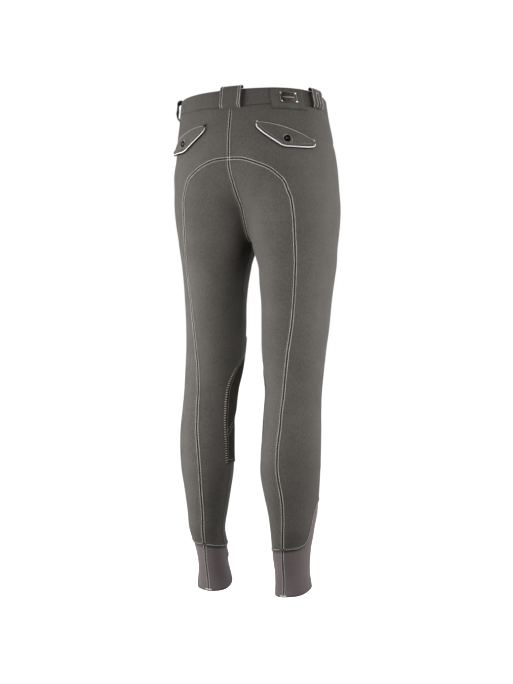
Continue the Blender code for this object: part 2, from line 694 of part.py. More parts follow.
def build_piping(side, edge, top):
    """Corded edge along the free edge of a flap, six-sided."""
    marks = np.array([0, 5, 10, 15, 20, 26, 32, 35, 38, 46, 55, 64, 73, 82, 88, 93, 96, 100])
    share = marks / 100.0
    free = FLAP_LIFT_LEFT if side > 0 else FLAP_LIFT_RIGHT
    outer = share if side > 0 else np.ones(len(share))
    lift = LAY + FLAP_WALL / 2 + free * (0.25 + 0.75 * outer)
    line, out = cloth(edge[0][marks], edge[1][marks], side, lift)
    inner, _ = cloth(top[0][marks], top[1][marks], side, lift)
    course = unit(np.gradient(line, axis=0))
    away = unit(np.cross(out, course))
    middle = len(line) // 2
    if np.dot(away[middle], line[middle] - inner[middle]) < 0:
        away = -away
    radius = 1.35
    centre = line + away * (radius + 0.3)
    ring = np.radians(np.arange(0, 360, 60))
    tubes = (
        centre[:, None, :]
        + away[:, None, :] * (radius * np.cos(ring))[None, :, None]
        + out[:, None, :] * (radius * np.sin(ring))[None, :, None]
    )
    count = len(ring)
    faces = []
    for j in range(len(line) - 1):
        for i in range(count):
            k = (i + 1) % count
            faces.append((j * count + i, j * count + k, (j + 1) * count + k, (j + 1) * count + i))
    faces.append(tuple(range(count)))
    faces.append(tuple((len(line) - 1) * count + i for i in range(count)))
    add_mesh("flap_piping_" + side_name(side), tubes.reshape(-1, 3), faces, PIPING_COLOUR, roughness=0.5)


def turned(name, centre, out, profile, colour, segments=14, metallic=0.0, roughness=0.4):
    """Body of revolution on a place of the cloth: profile of (radius, height off the place)."""
    sideways = unit(np.cross(np.array([0.0, 0.0, 1.0]), out))
    upright = np.cross(out, sideways)
    vertices = []
    faces = []
    turns = np.radians(np.arange(segments) * 360.0 / segments)
    for radius, height in profile:
        for turn in turns:
            flat = sideways * math.cos(turn) + upright * math.sin(turn)
            vertices.append(centre + flat * radius + out * height)
    for j in range(len(profile) - 1):
        for i in range(segments):
            k = (i + 1) % segments
            faces.append((j * segments + i, j * segments + k, (j + 1) * segments + k, (j + 1) * segments + i))
    faces.append(tuple(range(segments)))
    faces.append(tuple((len(profile) - 1) * segments + i for i in range(segments)))
    return add_mesh(name, vertices, faces, colour, metallic, roughness)


def build_flap_button(side):
    angle, height = FLAP_BUTTON
    height = height + (FLAP_BUTTON_RISE_LEFT if side > 0 else 0.0)
    free = FLAP_LIFT_LEFT if side > 0 else FLAP_LIFT_RIGHT
    outer = 0.38 if side > 0 else 1.0
    rise = LAY + FLAP_WALL + free * FLAP_BUTTON_SHARE**1.5 * (0.25 + 0.75 * outer)
    centre, out = cloth(math.radians(angle), height, side, rise + 0.45)
    turned("flap_button_" + side_name(side), centre, out, BUTTON_PROFILE, BUTTON_COLOUR)


def build_knee_patch(side):
    table = np.array(KNEE_PATCH[::-1])
    rows = np.array(KNEE_PATCH_ROWS)
    u = np.linspace(0, 1, 12)
    back = np.radians(curve(table[:, 0], table[:, 1], rows)) - 2 * math.pi
    front = np.radians(curve(table[:, 0], table[:, 2], rows)) - 2 * math.pi
    angles = back[:, None] * (1 - u) + front[:, None] * u
    heights = np.broadcast_to(rows[:, None], angles.shape)
    panel(
        "knee_patch_" + side_name(side), angles, heights, side, PATCH_COLOUR, PATCH_WALL,
        lift=KNEE_PATCH_LIFT + PATCH_WALL, gap=0.0,
    )


def build_label():
    """Badge patch on the right of the back waistband and its metal plate."""
    angles = np.radians(np.linspace(LABEL_FROM, LABEL_TO, 8))
    rim = edge_height(BAND_TOP, angles) - 0.6
    foot = np.linspace(LABEL_BELOW[0], LABEL_BELOW[1], 8)
    t = np.linspace(0, 1, 4)[:, None]
    heights = rim[None, :] * (1 - t) + foot[None, :] * t
    panel(
        "waistband_patch", np.broadcast_to(angles, heights.shape), heights, -1, PATCH_COLOUR, PATCH_WALL,
        lift=LAY + PATCH_WALL, gap=0.0,
    )
    columns, rows = 13, 9
    u = np.linspace(-0.5, 0.5, columns)[None, :]
    v = np.linspace(0.5, -0.5, rows)[:, None]
    spread = math.radians(PLATE_ANGLE) - u * PLATE_SIZE[0] / reach_per_turn(PLATE_ANGLE) + 0 * v
    heights = PLATE_HEIGHT + v * PLATE_SIZE[1] - u * PLATE_FALL
    border = np.maximum(np.abs(u), np.abs(v) + 0 * u) > 0.40
    bar = (np.abs(v) < 0.07) & (np.abs(u) < 0.34)
    relief = 1.1 + 0.5 * border + 0.45 * bar
    stud = (np.abs(np.abs(u) - 0.42) < 0.06) & (np.abs(np.abs(v) - 0.38) < 0.09)
    relief = relief + 0.6 * stud
    lift = LAY + PATCH_WALL + 0.35
    points, directions = cloth(spread, heights, -1, lift)
    shell(
        "badge_plate", points + directions * relief[..., None], points, METAL_COLOUR,
        metallic=1.0, roughness=0.45,
    )


def build_front():
    """Fly shield behind the centre front and the waistband button on the tab."""
    across = np.array([-FLY_HALF_WIDTH, -11.0, -0.001, 11.0, FLY_HALF_WIDTH])
    top = float(edge_height(WAIST_SEAM, -math.pi / 2)) - 1.0
    heights = np.linspace(top, FLY_DEPTH, 8)[:, None] + np.zeros((1, 5))
    narrow = np.linspace(1.0, 0.55, 8)[:, None]
    angles = front_end(heights, np.abs(across)[None, :] * narrow)
    points, directions = cloth(angles, heights, 1, -CLOTH_WALL - 0.6)
    mirror = np.where(across < 0, -1.0, 1.0)[None, :]
    points[..., 0] *= mirror
    directions[..., 0] *= mirror
    shell("fly_shield", points, points - directions * 1.6, CLOTH_COLOUR)
    angle = front_end(np.array(WAIST_BUTTON_HEIGHT), WAIST_BUTTON_ACROSS)
    centre, out = cloth(angle, WAIST_BUTTON_HEIGHT, -1, BAND_WALL + LAY + 0.4)
    turned("waist_button", centre, out, BUTTON_PROFILE, BUTTON_COLOUR)


def main():
    for old in list(bpy.data.objects):
        bpy.data.objects.remove(old, do_unlink=True)
    for side in (1, -1):
        build_panels(side)
        build_flaps(side)
        build_knee_patch(side)
    build_loops()
    build_label()
    build_front()


main()
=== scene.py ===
import math

import bpy
import numpy as np
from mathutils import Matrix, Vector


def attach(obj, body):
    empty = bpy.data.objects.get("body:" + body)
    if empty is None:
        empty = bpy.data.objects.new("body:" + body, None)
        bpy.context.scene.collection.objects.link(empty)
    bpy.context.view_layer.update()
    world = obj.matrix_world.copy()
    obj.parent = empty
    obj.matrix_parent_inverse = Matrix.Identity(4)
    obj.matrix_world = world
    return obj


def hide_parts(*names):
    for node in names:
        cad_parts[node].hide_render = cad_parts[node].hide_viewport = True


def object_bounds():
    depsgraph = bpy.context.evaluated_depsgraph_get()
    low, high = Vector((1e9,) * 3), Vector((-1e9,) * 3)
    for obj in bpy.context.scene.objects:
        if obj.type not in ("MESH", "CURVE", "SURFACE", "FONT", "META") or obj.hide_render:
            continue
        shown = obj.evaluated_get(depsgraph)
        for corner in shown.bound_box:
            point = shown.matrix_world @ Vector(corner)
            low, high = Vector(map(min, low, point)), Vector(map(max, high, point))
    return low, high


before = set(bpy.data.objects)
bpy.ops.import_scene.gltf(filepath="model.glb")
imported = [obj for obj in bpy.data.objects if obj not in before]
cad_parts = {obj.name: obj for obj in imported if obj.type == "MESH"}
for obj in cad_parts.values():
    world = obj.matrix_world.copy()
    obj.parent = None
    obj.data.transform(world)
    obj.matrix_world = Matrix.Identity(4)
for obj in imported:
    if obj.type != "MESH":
        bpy.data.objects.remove(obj)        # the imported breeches, which every piece here is laid on
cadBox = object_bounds()

# Lengths are in millimetres and angles in radians until a mesh is made.
# Front is -Y, the wearer's left is +X. On a leg's tube 90 degrees is behind, 0 outside, -90 in front.
mm = 0.001
fullTurn = 2 * math.pi

garment = {
    "clothWall": 1.8,
    "bandWall": 3.0,
    "patchWall": 1.2,
    "flapWall": 2.0,
    "loopWall": 1.8,
    "lay": 0.35,             # air between a laid piece and what it lies on
    "seamHollow": 10.0,      # softness of the hollow where the two tubes meet
    "apex": -121.0,          # where the arched seam leaves the centre back
    "seatLevel": -268.0,
    "kneeLevel": -640.0,
    "archFoot": -800.0,      # below this the arched seam meets the cuff seam
    "cuffInside": -909.0,    # height of the cuff seam at the inseam, near enough to find its angle
    "slopeStep": 0.4,
    "foldRadius": 62.0,      # turns the angle from a fold's middle into a length
    "foldFade": 25.0,        # folds die out this near the middle plane
}

sectionNames = ("height", "lobeX", "lobeY", "halfWidth", "back", "front", "turn", "backPower", "frontPower")
bodySections = np.array((
    (32.0, 0.0, 2.4, 152.0, 89.5, 109.5, 0.0, 2.2, 2.2),
    (16.0, 0.0, 1.8, 154.5, 92.0, 110.5, 0.0, 2.2, 2.2),
    (0.0, 0.0, 1.0, 156.5, 96.0, 112.0, 0.0, 2.2, 2.2),
    (-31.0, 0.0, -5.0, 160.5, 107.5, 111.0, 0.0, 2.2, 2.1),
    (-72.0, 12.0, -11.0, 155.5, 120.0, 106.0, 0.0, 2.1, 2.1),
    (-105.0, 27.0, -16.0, 144.0, 128.5, 103.0, 0.0, 2.0, 2.2),
    (-138.0, 42.0, -20.0, 132.5, 131.5, 100.0, 1.0, 2.1, 2.2),
    (-171.0, 63.0, -22.0, 111.5, 121.0, 97.0, 3.0, 2.2, 2.3),
    (-204.0, 82.0, -25.0, 93.0, 115.0, 94.0, 4.0, 2.3, 2.3),
    (-240.0, 88.0, -26.0, 86.0, 110.0, 94.0, 7.0, 2.3, 2.15),
    (-268.0, 89.5, -25.0, 81.5, 107.0, 96.0, 9.0, 2.2, 2.05),
    (-285.0, 90.5, -23.5, 78.5, 104.5, 96.0, 10.0, 2.15, 2.0),
    (-336.0, 93.0, -20.0, 69.3, 96.0, 96.0, 12.0, 2.0, 2.0),
    (-398.0, 93.2, -17.0, 62.8, 88.0, 88.0, 12.0, 2.0, 2.0),
    (-460.0, 91.3, -14.5, 61.2, 81.5, 81.5, 12.0, 2.0, 2.0),
    (-502.0, 90.5, -9.5, 60.0, 75.0, 75.0, 12.0, 2.0, 2.0),
    (-543.0, 92.0, -4.5, 59.0, 65.5, 65.5, 12.0, 2.0, 2.0),
    (-584.0, 95.0, 2.0, 55.5, 59.5, 59.5, 12.0, 2.0, 2.0),
    (-625.0, 96.0, 9.5, 55.0, 61.0, 61.0, 13.0, 2.0, 2.0),
    (-667.0, 97.0, 16.0, 55.0, 65.0, 65.0, 14.0, 2.0, 2.0),
    (-708.0, 96.0, 19.0, 55.0, 68.0, 68.0, 15.0, 2.0, 2.0),
    (-749.0, 94.5, 19.0, 53.5, 69.0, 69.0, 16.0, 2.0, 2.0),
    (-790.0, 95.5, 16.0, 47.5, 65.5, 67.0, 16.0, 2.0, 2.0),
    (-832.0, 97.2, 13.5, 41.5, 59.0, 61.0, 16.0, 2.0, 2.0),
    (-873.0, 97.0, 15.5, 36.5, 51.5, 51.5, 16.0, 2.0, 2.0),
    (-914.0, 91.5, 6.5, 33.0, 46.5, 46.5, 16.0, 2.0, 2.0),
    (-956.0, 90.0, -2.0, 32.5, 41.0, 41.0, 16.0, 2.0, 2.0),
    (-980.0, 90.0, -6.0, 36.0, 39.0, 40.0, 16.0, 2.0, 2.0),
    (-1006.0, 90.0, -8.0, 38.0, 39.0, 42.0, 16.0, 2.0, 2.0),
))

# The arched seam: height, angle on the wearer's left leg, angle on the right leg.
archRows = np.array((
    (-123.5, 90.0, 90.0), (-132.5, 80.4, 80.0), (-144.0, 73.2, 70.6), (-156.0, 67.6, 66.0),
    (-170.0, 66.0, 63.2), (-190.0, 67.2, 64.6), (-212.0, 68.8, 65.0), (-245.0, 66.8, 62.4),
    (-282.0, 64.2, 59.8), (-325.0, 61.2, 58.0), (-361.0, 62.4, 58.4), (-400.0, 65.6, 59.6),
    (-435.0, 67.6, 60.6), (-475.0, 70.2, 62.8), (-510.0, 72.6, 65.8), (-546.0, 75.4, 69.8),
    (-582.0, 78.6, 74.6), (-618.0, 80.6, 76.0), (-655.0, 83.4, 75.8), (-694.0, 86.4, 76.4),
    (-730.0, 87.6, 74.4), (-770.0, 88.0, 71.0), (-801.0, 89.0, 69.8), (-835.0, 90.8, 71.8),
    (-868.0, 91.4, 73.4), (-902.0, 86.4, 74.2), (-932.0, 80.6, 75.8), (-962.0, 79.0, 77.6),
    (-998.0, 79.6, 83.0),
))

# Cut edges round the tube: angle, height.
bandTop = np.array((
    (-100.0, -6.0), (-60.0, -4.5), (-30.0, 0.0), (-7.0, 5.5), (3.0, 9.5), (15.0, 14.0), (27.0, 16.8),
    (40.0, 18.6), (60.0, 19.3), (100.0, 20.0),
))
waistSeam = np.array((
    (-100.0, -40.0), (-60.0, -36.5), (-30.0, -29.5), (-2.0, -22.5), (5.0, -20.0), (15.0, -17.5),
    (30.0, -15.8), (45.0, -15.2), (60.0, -15.6), (85.0, -18.0), (100.0, -18.0),
))
cuffSeam = np.array((
    (-215.0, -908.0), (-190.0, -909.0), (-165.0, -903.0), (-145.0, -885.0), (-125.0, -858.0),
    (-105.0, -830.0), (-85.0, -812.0), (-62.0, -807.0), (-45.0, -811.0), (-31.0, -820.0),
    (-22.0, -836.0), (-17.0, -857.0), (-11.0, -875.0), (0.0, -889.0), (13.0, -895.0),
    (30.0, -898.5), (60.0, -900.5), (90.0, -902.0), (115.0, -905.5), (145.0, -908.0), (190.0, -909.0),
))
hemLine = np.array((
    (-215.0, -993.0), (-190.0, -988.0), (-167.0, -983.5), (-135.0, -980.5), (-100.0, -980.0),
    (-44.0, -984.5), (-13.0, -989.5), (15.0, -995.0), (60.0, -999.0), (85.0, -1000.5),
    (111.0, -1000.5), (140.0, -998.0), (160.0, -993.5), (175.0, -989.5), (193.0, -983.5),
))
cuffColumns = np.array((
    82.0, 66.0, 48.0, 31.0, 16.0, 5.0, -4.0, -11.0, -16.0, -20.5, -27.0, -37.0, -50.0, -66.0,
    -84.0, -102.0, -120.0, -137.0, -154.0, -172.0, -190.0,
))

# The main folds, which the solids have too, then the finer drag lines that worn cloth takes.
# side (0 both), angle, height, reach along, breadth across, slope, rise
folds = (
    (0, 150.0, -306.0, 46.0, 15.0, -32.0, 1.6),
    (0, 140.0, -338.0, 52.0, 16.0, -26.0, -1.4),
    (0, 120.0, -372.0, 60.0, 18.0, -20.0, 0.9),
    (0, 96.0, -556.0, 26.0, 14.0, 9.0, 1.1),
    (0, 92.0, -588.0, 28.0, 14.0, -6.0, -1.3),
    (0, 97.0, -618.0, 26.0, 15.0, 5.0, 1.0),
    (0, -70.0, -330.0, 60.0, 18.0, 24.0, 1.2),
    (0, -110.0, -300.0, 55.0, 17.0, 34.0, -1.4),
    (0, -80.0, -880.0, 30.0, 13.0, 6.0, 1.2),
    (0, 176.0, -934.0, 28.0, 12.0, -5.0, -1.2),
    (0, 172.0, -958.0, 26.0, 12.0, 6.0, 1.0),
)
creases = (
    (-1, 100.0, -262.0, 60.0, 13.0, 74.0, 0.8),
    (-1, 84.0, -300.0, 85.0, 12.0, 82.0, 0.7),
    (-1, 118.0, -330.0, 70.0, 11.0, 66.0, -0.6),
    (-1, 40.0, -280.0, 95.0, 16.0, 86.0, 0.6),
    (-1, 20.0, -430.0, 110.0, 15.0, 95.0, 0.6),
    (-1, 95.0, -470.0, 70.0, 12.0, 78.0, -0.5),
    (-1, 62.0, -700.0, 80.0, 14.0, 92.0, 0.6),
    (-1, 45.0, -860.0, 30.0, 7.0, 20.0, 0.5),
    (-1, 58.0, -876.0, 26.0, 6.0, 12.0, -0.5),
    (1, 78.0, -250.0, 80.0, 12.0, 76.0, 0.8),
    (1, 100.0, -300.0, 75.0, 13.0, 70.0, -0.8),
    (1, 50.0, -330.0, 95.0, 14.0, 84.0, 0.6),
    (1, 110.0, -420.0, 80.0, 12.0, 72.0, 0.6),
    (1, 90.0, -490.0, 60.0, 11.0, 82.0, -0.6),
    (1, 70.0, -690.0, 80.0, 13.0, 94.0, 0.6),
    (1, 110.0, -866.0, 28.0, 7.0, -16.0, 0.6),
    (1, 120.0, -880.0, 24.0, 6.0, -10.0, -0.5),
    (-1, 8.0, -84.0, 46.0, 9.0, 4.0, -1.5),
    (1, 190.0, -646.0, 38.0, 14.0, 3.0, -1.9),
    (1, 190.0, -903.0, 24.0, 6.0, -4.0, 1.5),
    (1, 192.0, -915.0, 24.0, 5.0, -2.0, -1.2),
    (1, 190.0, -929.0, 26.0, 7.0, 3.0, 1.8),
    (1, 186.0, -945.0, 28.0, 8.0, 6.0, -1.3),
    (0, -96.0, -560.0, 40.0, 9.0, 14.0, 0.7),
    (0, -84.0, -590.0, 44.0, 9.0, -9.0, -0.8),
    (0, -100.0, -622.0, 38.0, 8.0, 7.0, 0.6),
    (0, -60.0, -200.0, 55.0, 9.0, 40.0, 0.7),
    (0, -120.0, -262.0, 42.0, 7.0, 52.0, 2.0),
    (0, -132.0, -290.0, 46.0, 7.0, 44.0, -1.8),
    (0, -112.0, -232.0, 50.0, 7.0, 34.0, -1.5),
    (0, -98.0, -300.0, 60.0, 9.0, 62.0, -1.3),
    (0, -88.0, -420.0, 70.0, 13.0, 84.0, 0.8),
    (0, -100.0, -700.0, 46.0, 9.0, 10.0, -0.9),
    (0, -92.0, -728.0, 50.0, 10.0, -8.0, 0.8),
    (0, 160.0, -420.0, 60.0, 11.0, 70.0, 0.6),
    (0, 30.0, -560.0, 60.0, 14.0, 84.0, 0.5),
)


def smoothCurve(marks, values, at):
    # cubic through each point, with the mean slope of its two neighbours there
    marks, values = np.asarray(marks, float), np.asarray(values, float)
    slopes = np.gradient(values, marks)
    low = np.clip(np.searchsorted(marks, at) - 1, 0, len(marks) - 2)
    step = marks[low + 1] - marks[low]
    t = (at - marks[low]) / step
    first = (1 + 2 * t) * (1 - t) ** 2 * values[low] + t * (1 - t) ** 2 * step * slopes[low]
    return first + t * t * (3 - 2 * t) * values[low + 1] + t * t * (t - 1) * step * slopes[low + 1]


def smoothStep(value, low, high):
    # 0 below low, 1 above high, and the even S of t^2 (3 - 2 t) between them
    t = np.clip((value - low) / (high - low), 0, 1)
    return t * t * (3 - 2 * t)


def bell(distance, width, height=1.0):
    # height * exp(-(distance / width)^2)
    return height * np.exp(-((distance / width) ** 2))


def ledge(distance, height, low, high):
    # height up to low, and down to nothing by high
    return height * (1 - smoothStep(distance, low, high))


fineHeights = np.arange(-1010.0, 36.0, 0.5)
fineSections = {
    name: smoothCurve(bodySections[::-1, 0], bodySections[::-1, k], fineHeights)
    for k, name in enumerate(sectionNames)
}


def section(name, height):
    return np.interp(height, fineHeights, fineSections[name])


def tubeRadius(angle, height):
    # rounded oval: (cos / width)^p + (sin / depth)^p = r^-p, with its own depth and p behind and in front
    behind = np.sin(angle) > 0
    depth = np.where(behind, section("back", height), section("front", height))
    power = np.where(behind, section("backPower", height), section("frontPower", height))
    across = (np.abs(np.cos(angle)) / section("halfWidth", height)) ** power
    along = (np.abs(np.sin(angle)) / depth) ** power
    return (across + along) ** (-1 / power)


def tubeAt(angle, height):
    # the oval's point, turned round the tube's own upright line
    radius = tubeRadius(angle, height)
    course = angle + np.radians(section("turn", height))
    x = section("lobeX", height) + radius * np.cos(course)
    return x, section("lobeY", height) + radius * np.sin(course)


def gapTo(x, y, z):
    # distance outside the tube, where x is softened to sqrt(x^2 + hollow^2) so both sides meet in a fillet
    across = np.sqrt(x * x + garment["seamHollow"] ** 2) - section("lobeX", z)
    along = y - section("lobeY", z)
    angle = np.arctan2(along, across) - np.radians(section("turn", z))
    return np.hypot(across, along) - tubeRadius(angle, z)


def unit(vectors):
    return vectors / np.maximum(np.linalg.norm(vectors, axis=-1, keepdims=True), 1e-12)


def outwardAt(points):
    # the slope of the distance outside the tube, taken over a small step each way
    x, y, z = np.moveaxis(points, -1, 0)
    step = garment["slopeStep"]
    slope = (
        gapTo(x + step, y, z) - gapTo(x - step, y, z),
        gapTo(x, y + step, z) - gapTo(x, y - step, z),
        gapTo(x, y, z + step) - gapTo(x, y, z - step),
    )
    return unit(np.stack(slope, -1))


def foldRise(angle, height, side):
    # sum of long soft humps and troughs: rise * exp(-(along / reach)^2 - (across / breadth)^2)
    rise = np.zeros(np.broadcast(angle, height).shape)
    for which, middle, level, reach, breadth, slope, lift in folds + creases:
        if which not in (0, side):
            continue
        u = np.radians((np.degrees(angle) - middle + 180) % 360 - 180) * garment["foldRadius"]
        v = height - level
        tilt = math.radians(slope)
        along = u * math.cos(tilt) + v * math.sin(tilt)
        across = v * math.cos(tilt) - u * math.sin(tilt)
        rise = rise + lift * np.exp(-((along / reach) ** 2) - (across / breadth) ** 2)
    return rise


def onCloth(angle, height, side=1, lift=0.0):
    # the tube's point moved out by its folds and by lift, and the way straight out of the cloth there
    angle, height = np.broadcast_arrays(np.asarray(angle, float), np.asarray(height, float))
    x, y = tubeAt(angle, height)
    spread = np.sqrt(np.maximum(x * x - garment["seamHollow"] ** 2, 0.0))
    base = np.stack([spread, y, height], -1)
    out = outwardAt(base)
    rise = foldRise(angle, height, side) * np.clip(spread / garment["foldFade"], 0, 1)
    mirror = np.array([side, 1.0, 1.0])
    return (base + out * (rise + lift)[..., None]) * mirror, out * mirror


def overMiddle(angle, height, across, lift=0.0):
    # cloth that runs on over the middle plane, on the right side where across is below 0
    points, out = onCloth(angle, height, 1, lift)
    mirror = np.where(across < 0, -1.0, 1.0)[None, :]
    points[..., 0] *= mirror
    out[..., 0] *= mirror
    return points, out


searchSteps = 50
backStart, frontStart = 40, 320      # degrees on the outer side of the tube, where the search sets out


def innermostAngle(height):
    # narrows on the least x of the tube between 110 and 230 degrees
    height = np.asarray(height, float)
    low = np.full(height.shape, math.radians(110))
    high = np.full(height.shape, math.radians(230))
    for _ in range(searchSteps):
        third = (high - low) / 3
        nearer = tubeAt(low + third, height)[0] < tubeAt(high - third, height)[0]
        high = np.where(nearer, high - third, high)
        low = np.where(nearer, low, low + third)
    return (low + high) / 2


def endAngle(height, start, across=0.0):
    # halves the angle between start and the innermost line until the cloth stands across from the middle
    height = np.asarray(height, float)
    outside = np.full(height.shape, math.radians(start))
    inside = innermostAngle(height)
    reach = np.sqrt(np.asarray(across, float) ** 2 + garment["seamHollow"] ** 2)
    for _ in range(searchSteps):
        middle = (outside + inside) / 2
        clear = tubeAt(middle, height)[0] > reach
        outside = np.where(clear, middle, outside)
        inside = np.where(clear, inside, middle)
    return (outside + inside) / 2


fineInner = innermostAngle(fineHeights)
fineBack = endAngle(fineHeights, backStart)
fineFront = endAngle(fineHeights, frontStart) - fullTurn


def backEnd(height, across=None):
    # angle of the centre back, or of the line that is across from it
    return np.interp(height, fineHeights, fineBack) if across is None else endAngle(height, backStart, across)


def frontEnd(height, across=None):
    if across is None:
        return np.interp(height, fineHeights, fineFront)
    return endAngle(height, frontStart, across) - fullTurn


def angleAt(share, height):
    # share 0 is the centre back, 1 the centre front or the inseam, going round the outside
    back = backEnd(height)
    return back + (frontEnd(height) - back) * share


def edgeHeight(table, angle):
    return smoothCurve(table[:, 0], table[:, 1], np.degrees(angle))


def lengths(points):
    # running length along the first axis
    steps = np.linalg.norm(np.diff(points, axis=0), axis=-1)
    return np.concatenate([np.zeros((1,) + steps.shape[1:]), np.cumsum(steps, axis=0)])


def alongLine(angle, height, share):
    # angle and height at a share of the way along a line, by its length on the cloth
    reach = lengths(onCloth(angle, height)[0])
    return np.interp(share * reach[-1], reach, angle), np.interp(share * reach[-1], reach, height)


def archLine(side):
    # the arched seam and its run down the leg, in even steps from the centre back to the hem
    rows = np.concatenate([[(garment["apex"], 0.0, 0.0)], archRows])
    rows[0, 1:] = math.degrees(float(backEnd(garment["apex"])))
    height, angle = rows[:, 0], rows[:, 1 if side > 0 else 2]
    reach = lengths(onCloth(np.radians(angle), height)[0])
    fine = np.linspace(0, reach[-1], 1200)
    return np.radians(smoothCurve(reach, angle, fine)), smoothCurve(reach, height, fine)


trial = np.linspace(-250, -320, 1401)
crotchHeight = float(trial[np.argmax(tubeAt(innermostAngle(trial), trial)[0] > garment["seamHollow"])])
backTop = float(edgeHeight(waistSeam, math.pi / 2))
frontTop = float(edgeHeight(waistSeam, -math.pi / 2))

# Rows of a panel are counted from the waist seam: to the apex, to the seat level, to the cuff seam.
apexRow, seatRow, cuffRow = 6.0, 17.0, 46.0


def panelEdges(side, rows):
    # back seam, front seam and centre-back-and-inseam of each row, as angles and heights
    archAngle, archHeight = archLine(side)
    foot = edgeHeight(cuffSeam, archAngle) - archHeight
    last = int(np.argmax((foot > 0) & (archHeight < garment["archFoot"])))
    turn = int(np.argmax(archHeight < garment["seatLevel"]))
    toApex = np.clip(rows / apexRow, 0, 1)
    toSeat = np.clip((rows - apexRow) / (seatRow - apexRow), 0, 1)
    toCuff = np.clip((rows - seatRow) / (cuffRow - seatRow), 0, 1)
    middle = np.linspace(backTop, garment["apex"], 300)
    yoke = alongLine(backEnd(middle), middle, toApex)
    over = alongLine(archAngle[: turn + 1], archHeight[: turn + 1], toSeat)
    down = alongLine(archAngle[turn: last + 1], archHeight[turn: last + 1], toCuff)
    back = [np.where(rows <= apexRow, yoke[k], np.where(rows <= seatRow, over[k], down[k])) for k in (0, 1)]
    middle = np.linspace(frontTop, crotchHeight, 500)
    fore = alongLine(frontEnd(middle), middle, np.clip(rows / seatRow, 0, 1))
    middle = np.linspace(garment["apex"], crotchHeight, 500)
    rise = alongLine(backEnd(middle), middle, toSeat)
    foot = float(edgeHeight(cuffSeam, innermostAngle(garment["cuffInside"])))
    inside = crotchHeight + (foot - crotchHeight) * toCuff
    inseam = np.interp(inside, fineHeights, fineInner)
    trunk = rows <= seatRow
    front = [np.where(trunk, fore[0], inseam - fullTurn), np.where(trunk, fore[1], inside)]
    rise = [np.where(trunk, rise[0], inseam), np.where(trunk, rise[1], inside)]
    return back, front, rise


def levelled(heights, angles, table, weight, row):
    # slides the rows so that the given one lies on its cut edge, easing off by weight over the others
    share = np.linspace(0, 1, heights.shape[1])
    slip = edgeHeight(table, angles[row]) - heights[row]
    slip = slip - (slip[0] * (1 - share) + slip[-1] * share)
    return heights + weight[:, None] * slip[None, :]


def gradedMarks(count, edge, share):
    # 0 to 1 in count steps, which are edge times as long at both ends, over share of the way
    t = np.linspace(0, 1, count)
    marks = np.concatenate([[0], np.cumsum(1 - (1 - edge) * (bell(t, share) + bell(1 - t, share)))])
    return marks / marks[-1]


def valuesAt(at, reach, values):
    # each of the three columns of values at these lengths
    return np.stack([np.interp(at, reach, values[:, k]) for k in range(3)], -1)


def softened(values, reach):
    # running mean of nine, weighted by exp(-s^2) for s from -reach to reach; beyond each end the values
    # go on turned over their last point
    kernel = bell(np.linspace(-reach, reach, 9), 1)
    padded = np.concatenate([2 * values[:1] - values[4:0:-1], values, 2 * values[-1:] - values[-2:-6:-1]])
    return np.convolve(padded, kernel / kernel.sum(), "valid")


def nearestOn(points, line):
    # distance of each point from a line of points, and how far along the line its nearest place is
    flat = points.reshape(-1, 3)
    reach = lengths(line)
    square = (flat**2).sum(1)[:, None] - 2 * flat @ line.T + (line**2).sum(1)[None, :]
    nearest = square.argmin(1)
    distance = np.full(len(flat), 1e9)
    place = np.zeros(len(flat))
    for shift in (-1, 0):
        low = np.clip(nearest + shift, 0, len(line) - 2)
        course = line[low + 1] - line[low]
        t = np.clip(((flat - line[low]) * course).sum(1) / np.maximum((course**2).sum(1), 1e-12), 0, 1)
        away = np.linalg.norm(flat - line[low] - course * t[:, None], axis=1)
        closer = away < distance
        distance = np.where(closer, away, distance)
        place = np.where(closer, reach[low] + t * (reach[low + 1] - reach[low]), place)
    return distance.reshape(points.shape[:-1]), place.reshape(points.shape[:-1])


def wander(place, seed):
    # slow uneven wave from -1 to 1 along a length, the sum of four sines with lengths 23 to 171 mm
    rng = np.random.default_rng(seed)
    total = np.zeros(np.shape(place))
    for span in (23.0, 41.0, 83.0, 171.0):
        total = total + np.sin(place * fullTurn / span + rng.uniform(0, fullTurn)) * rng.uniform(0.15, 0.35)
    return total


print("shape functions ready")


# Meshes

pieces = {}


def meshFrom(name, vertices, faces, uv=None, shade=None):
    # faces are rows of four vertex numbers; uv and shade are given for each vertex
    mesh = bpy.data.meshes.new(name)
    mesh.vertices.add(len(vertices))
    mesh.vertices.foreach_set("co", (np.asarray(vertices) * mm).astype(np.float32).ravel())
    mesh.loops.add(faces.size)
    mesh.loops.foreach_set("vertex_index", faces.astype(np.int32).ravel())
    mesh.polygons.add(len(faces))
    mesh.polygons.foreach_set("loop_start", np.arange(0, faces.size, 4, dtype=np.int32))
    mesh.update(calc_edges=True)
    mesh.polygons.foreach_set("use_smooth", np.ones(len(faces), dtype=bool))
    if uv is not None:
        layer = mesh.uv_layers.new(name="weave")
        layer.data.foreach_set("uv", (uv[faces.ravel()] * mm).astype(np.float32).ravel())
    if shade is not None:
        layer = mesh.attributes.new("shade", "FLOAT", "POINT")
        layer.data.foreach_set("value", shade.astype(np.float32))
    mesh.validate()
    pieces[name] = bpy.data.objects.new(name, mesh)
    bpy.context.scene.collection.objects.link(pieces[name])
    return pieces[name]


def gridFaces(rows, columns, across=False):
    # quads of a grid, joined round from the last column to the first where it is closed across
    ids = np.arange(rows * columns).reshape(rows, columns)
    right = np.roll(ids, -1, axis=1) if across else ids[:, 1:]
    left = ids if across else ids[:, :-1]
    quads = (left[:-1], right[:-1], right[1:], left[1:])
    return np.stack([q.ravel() for q in quads], -1)


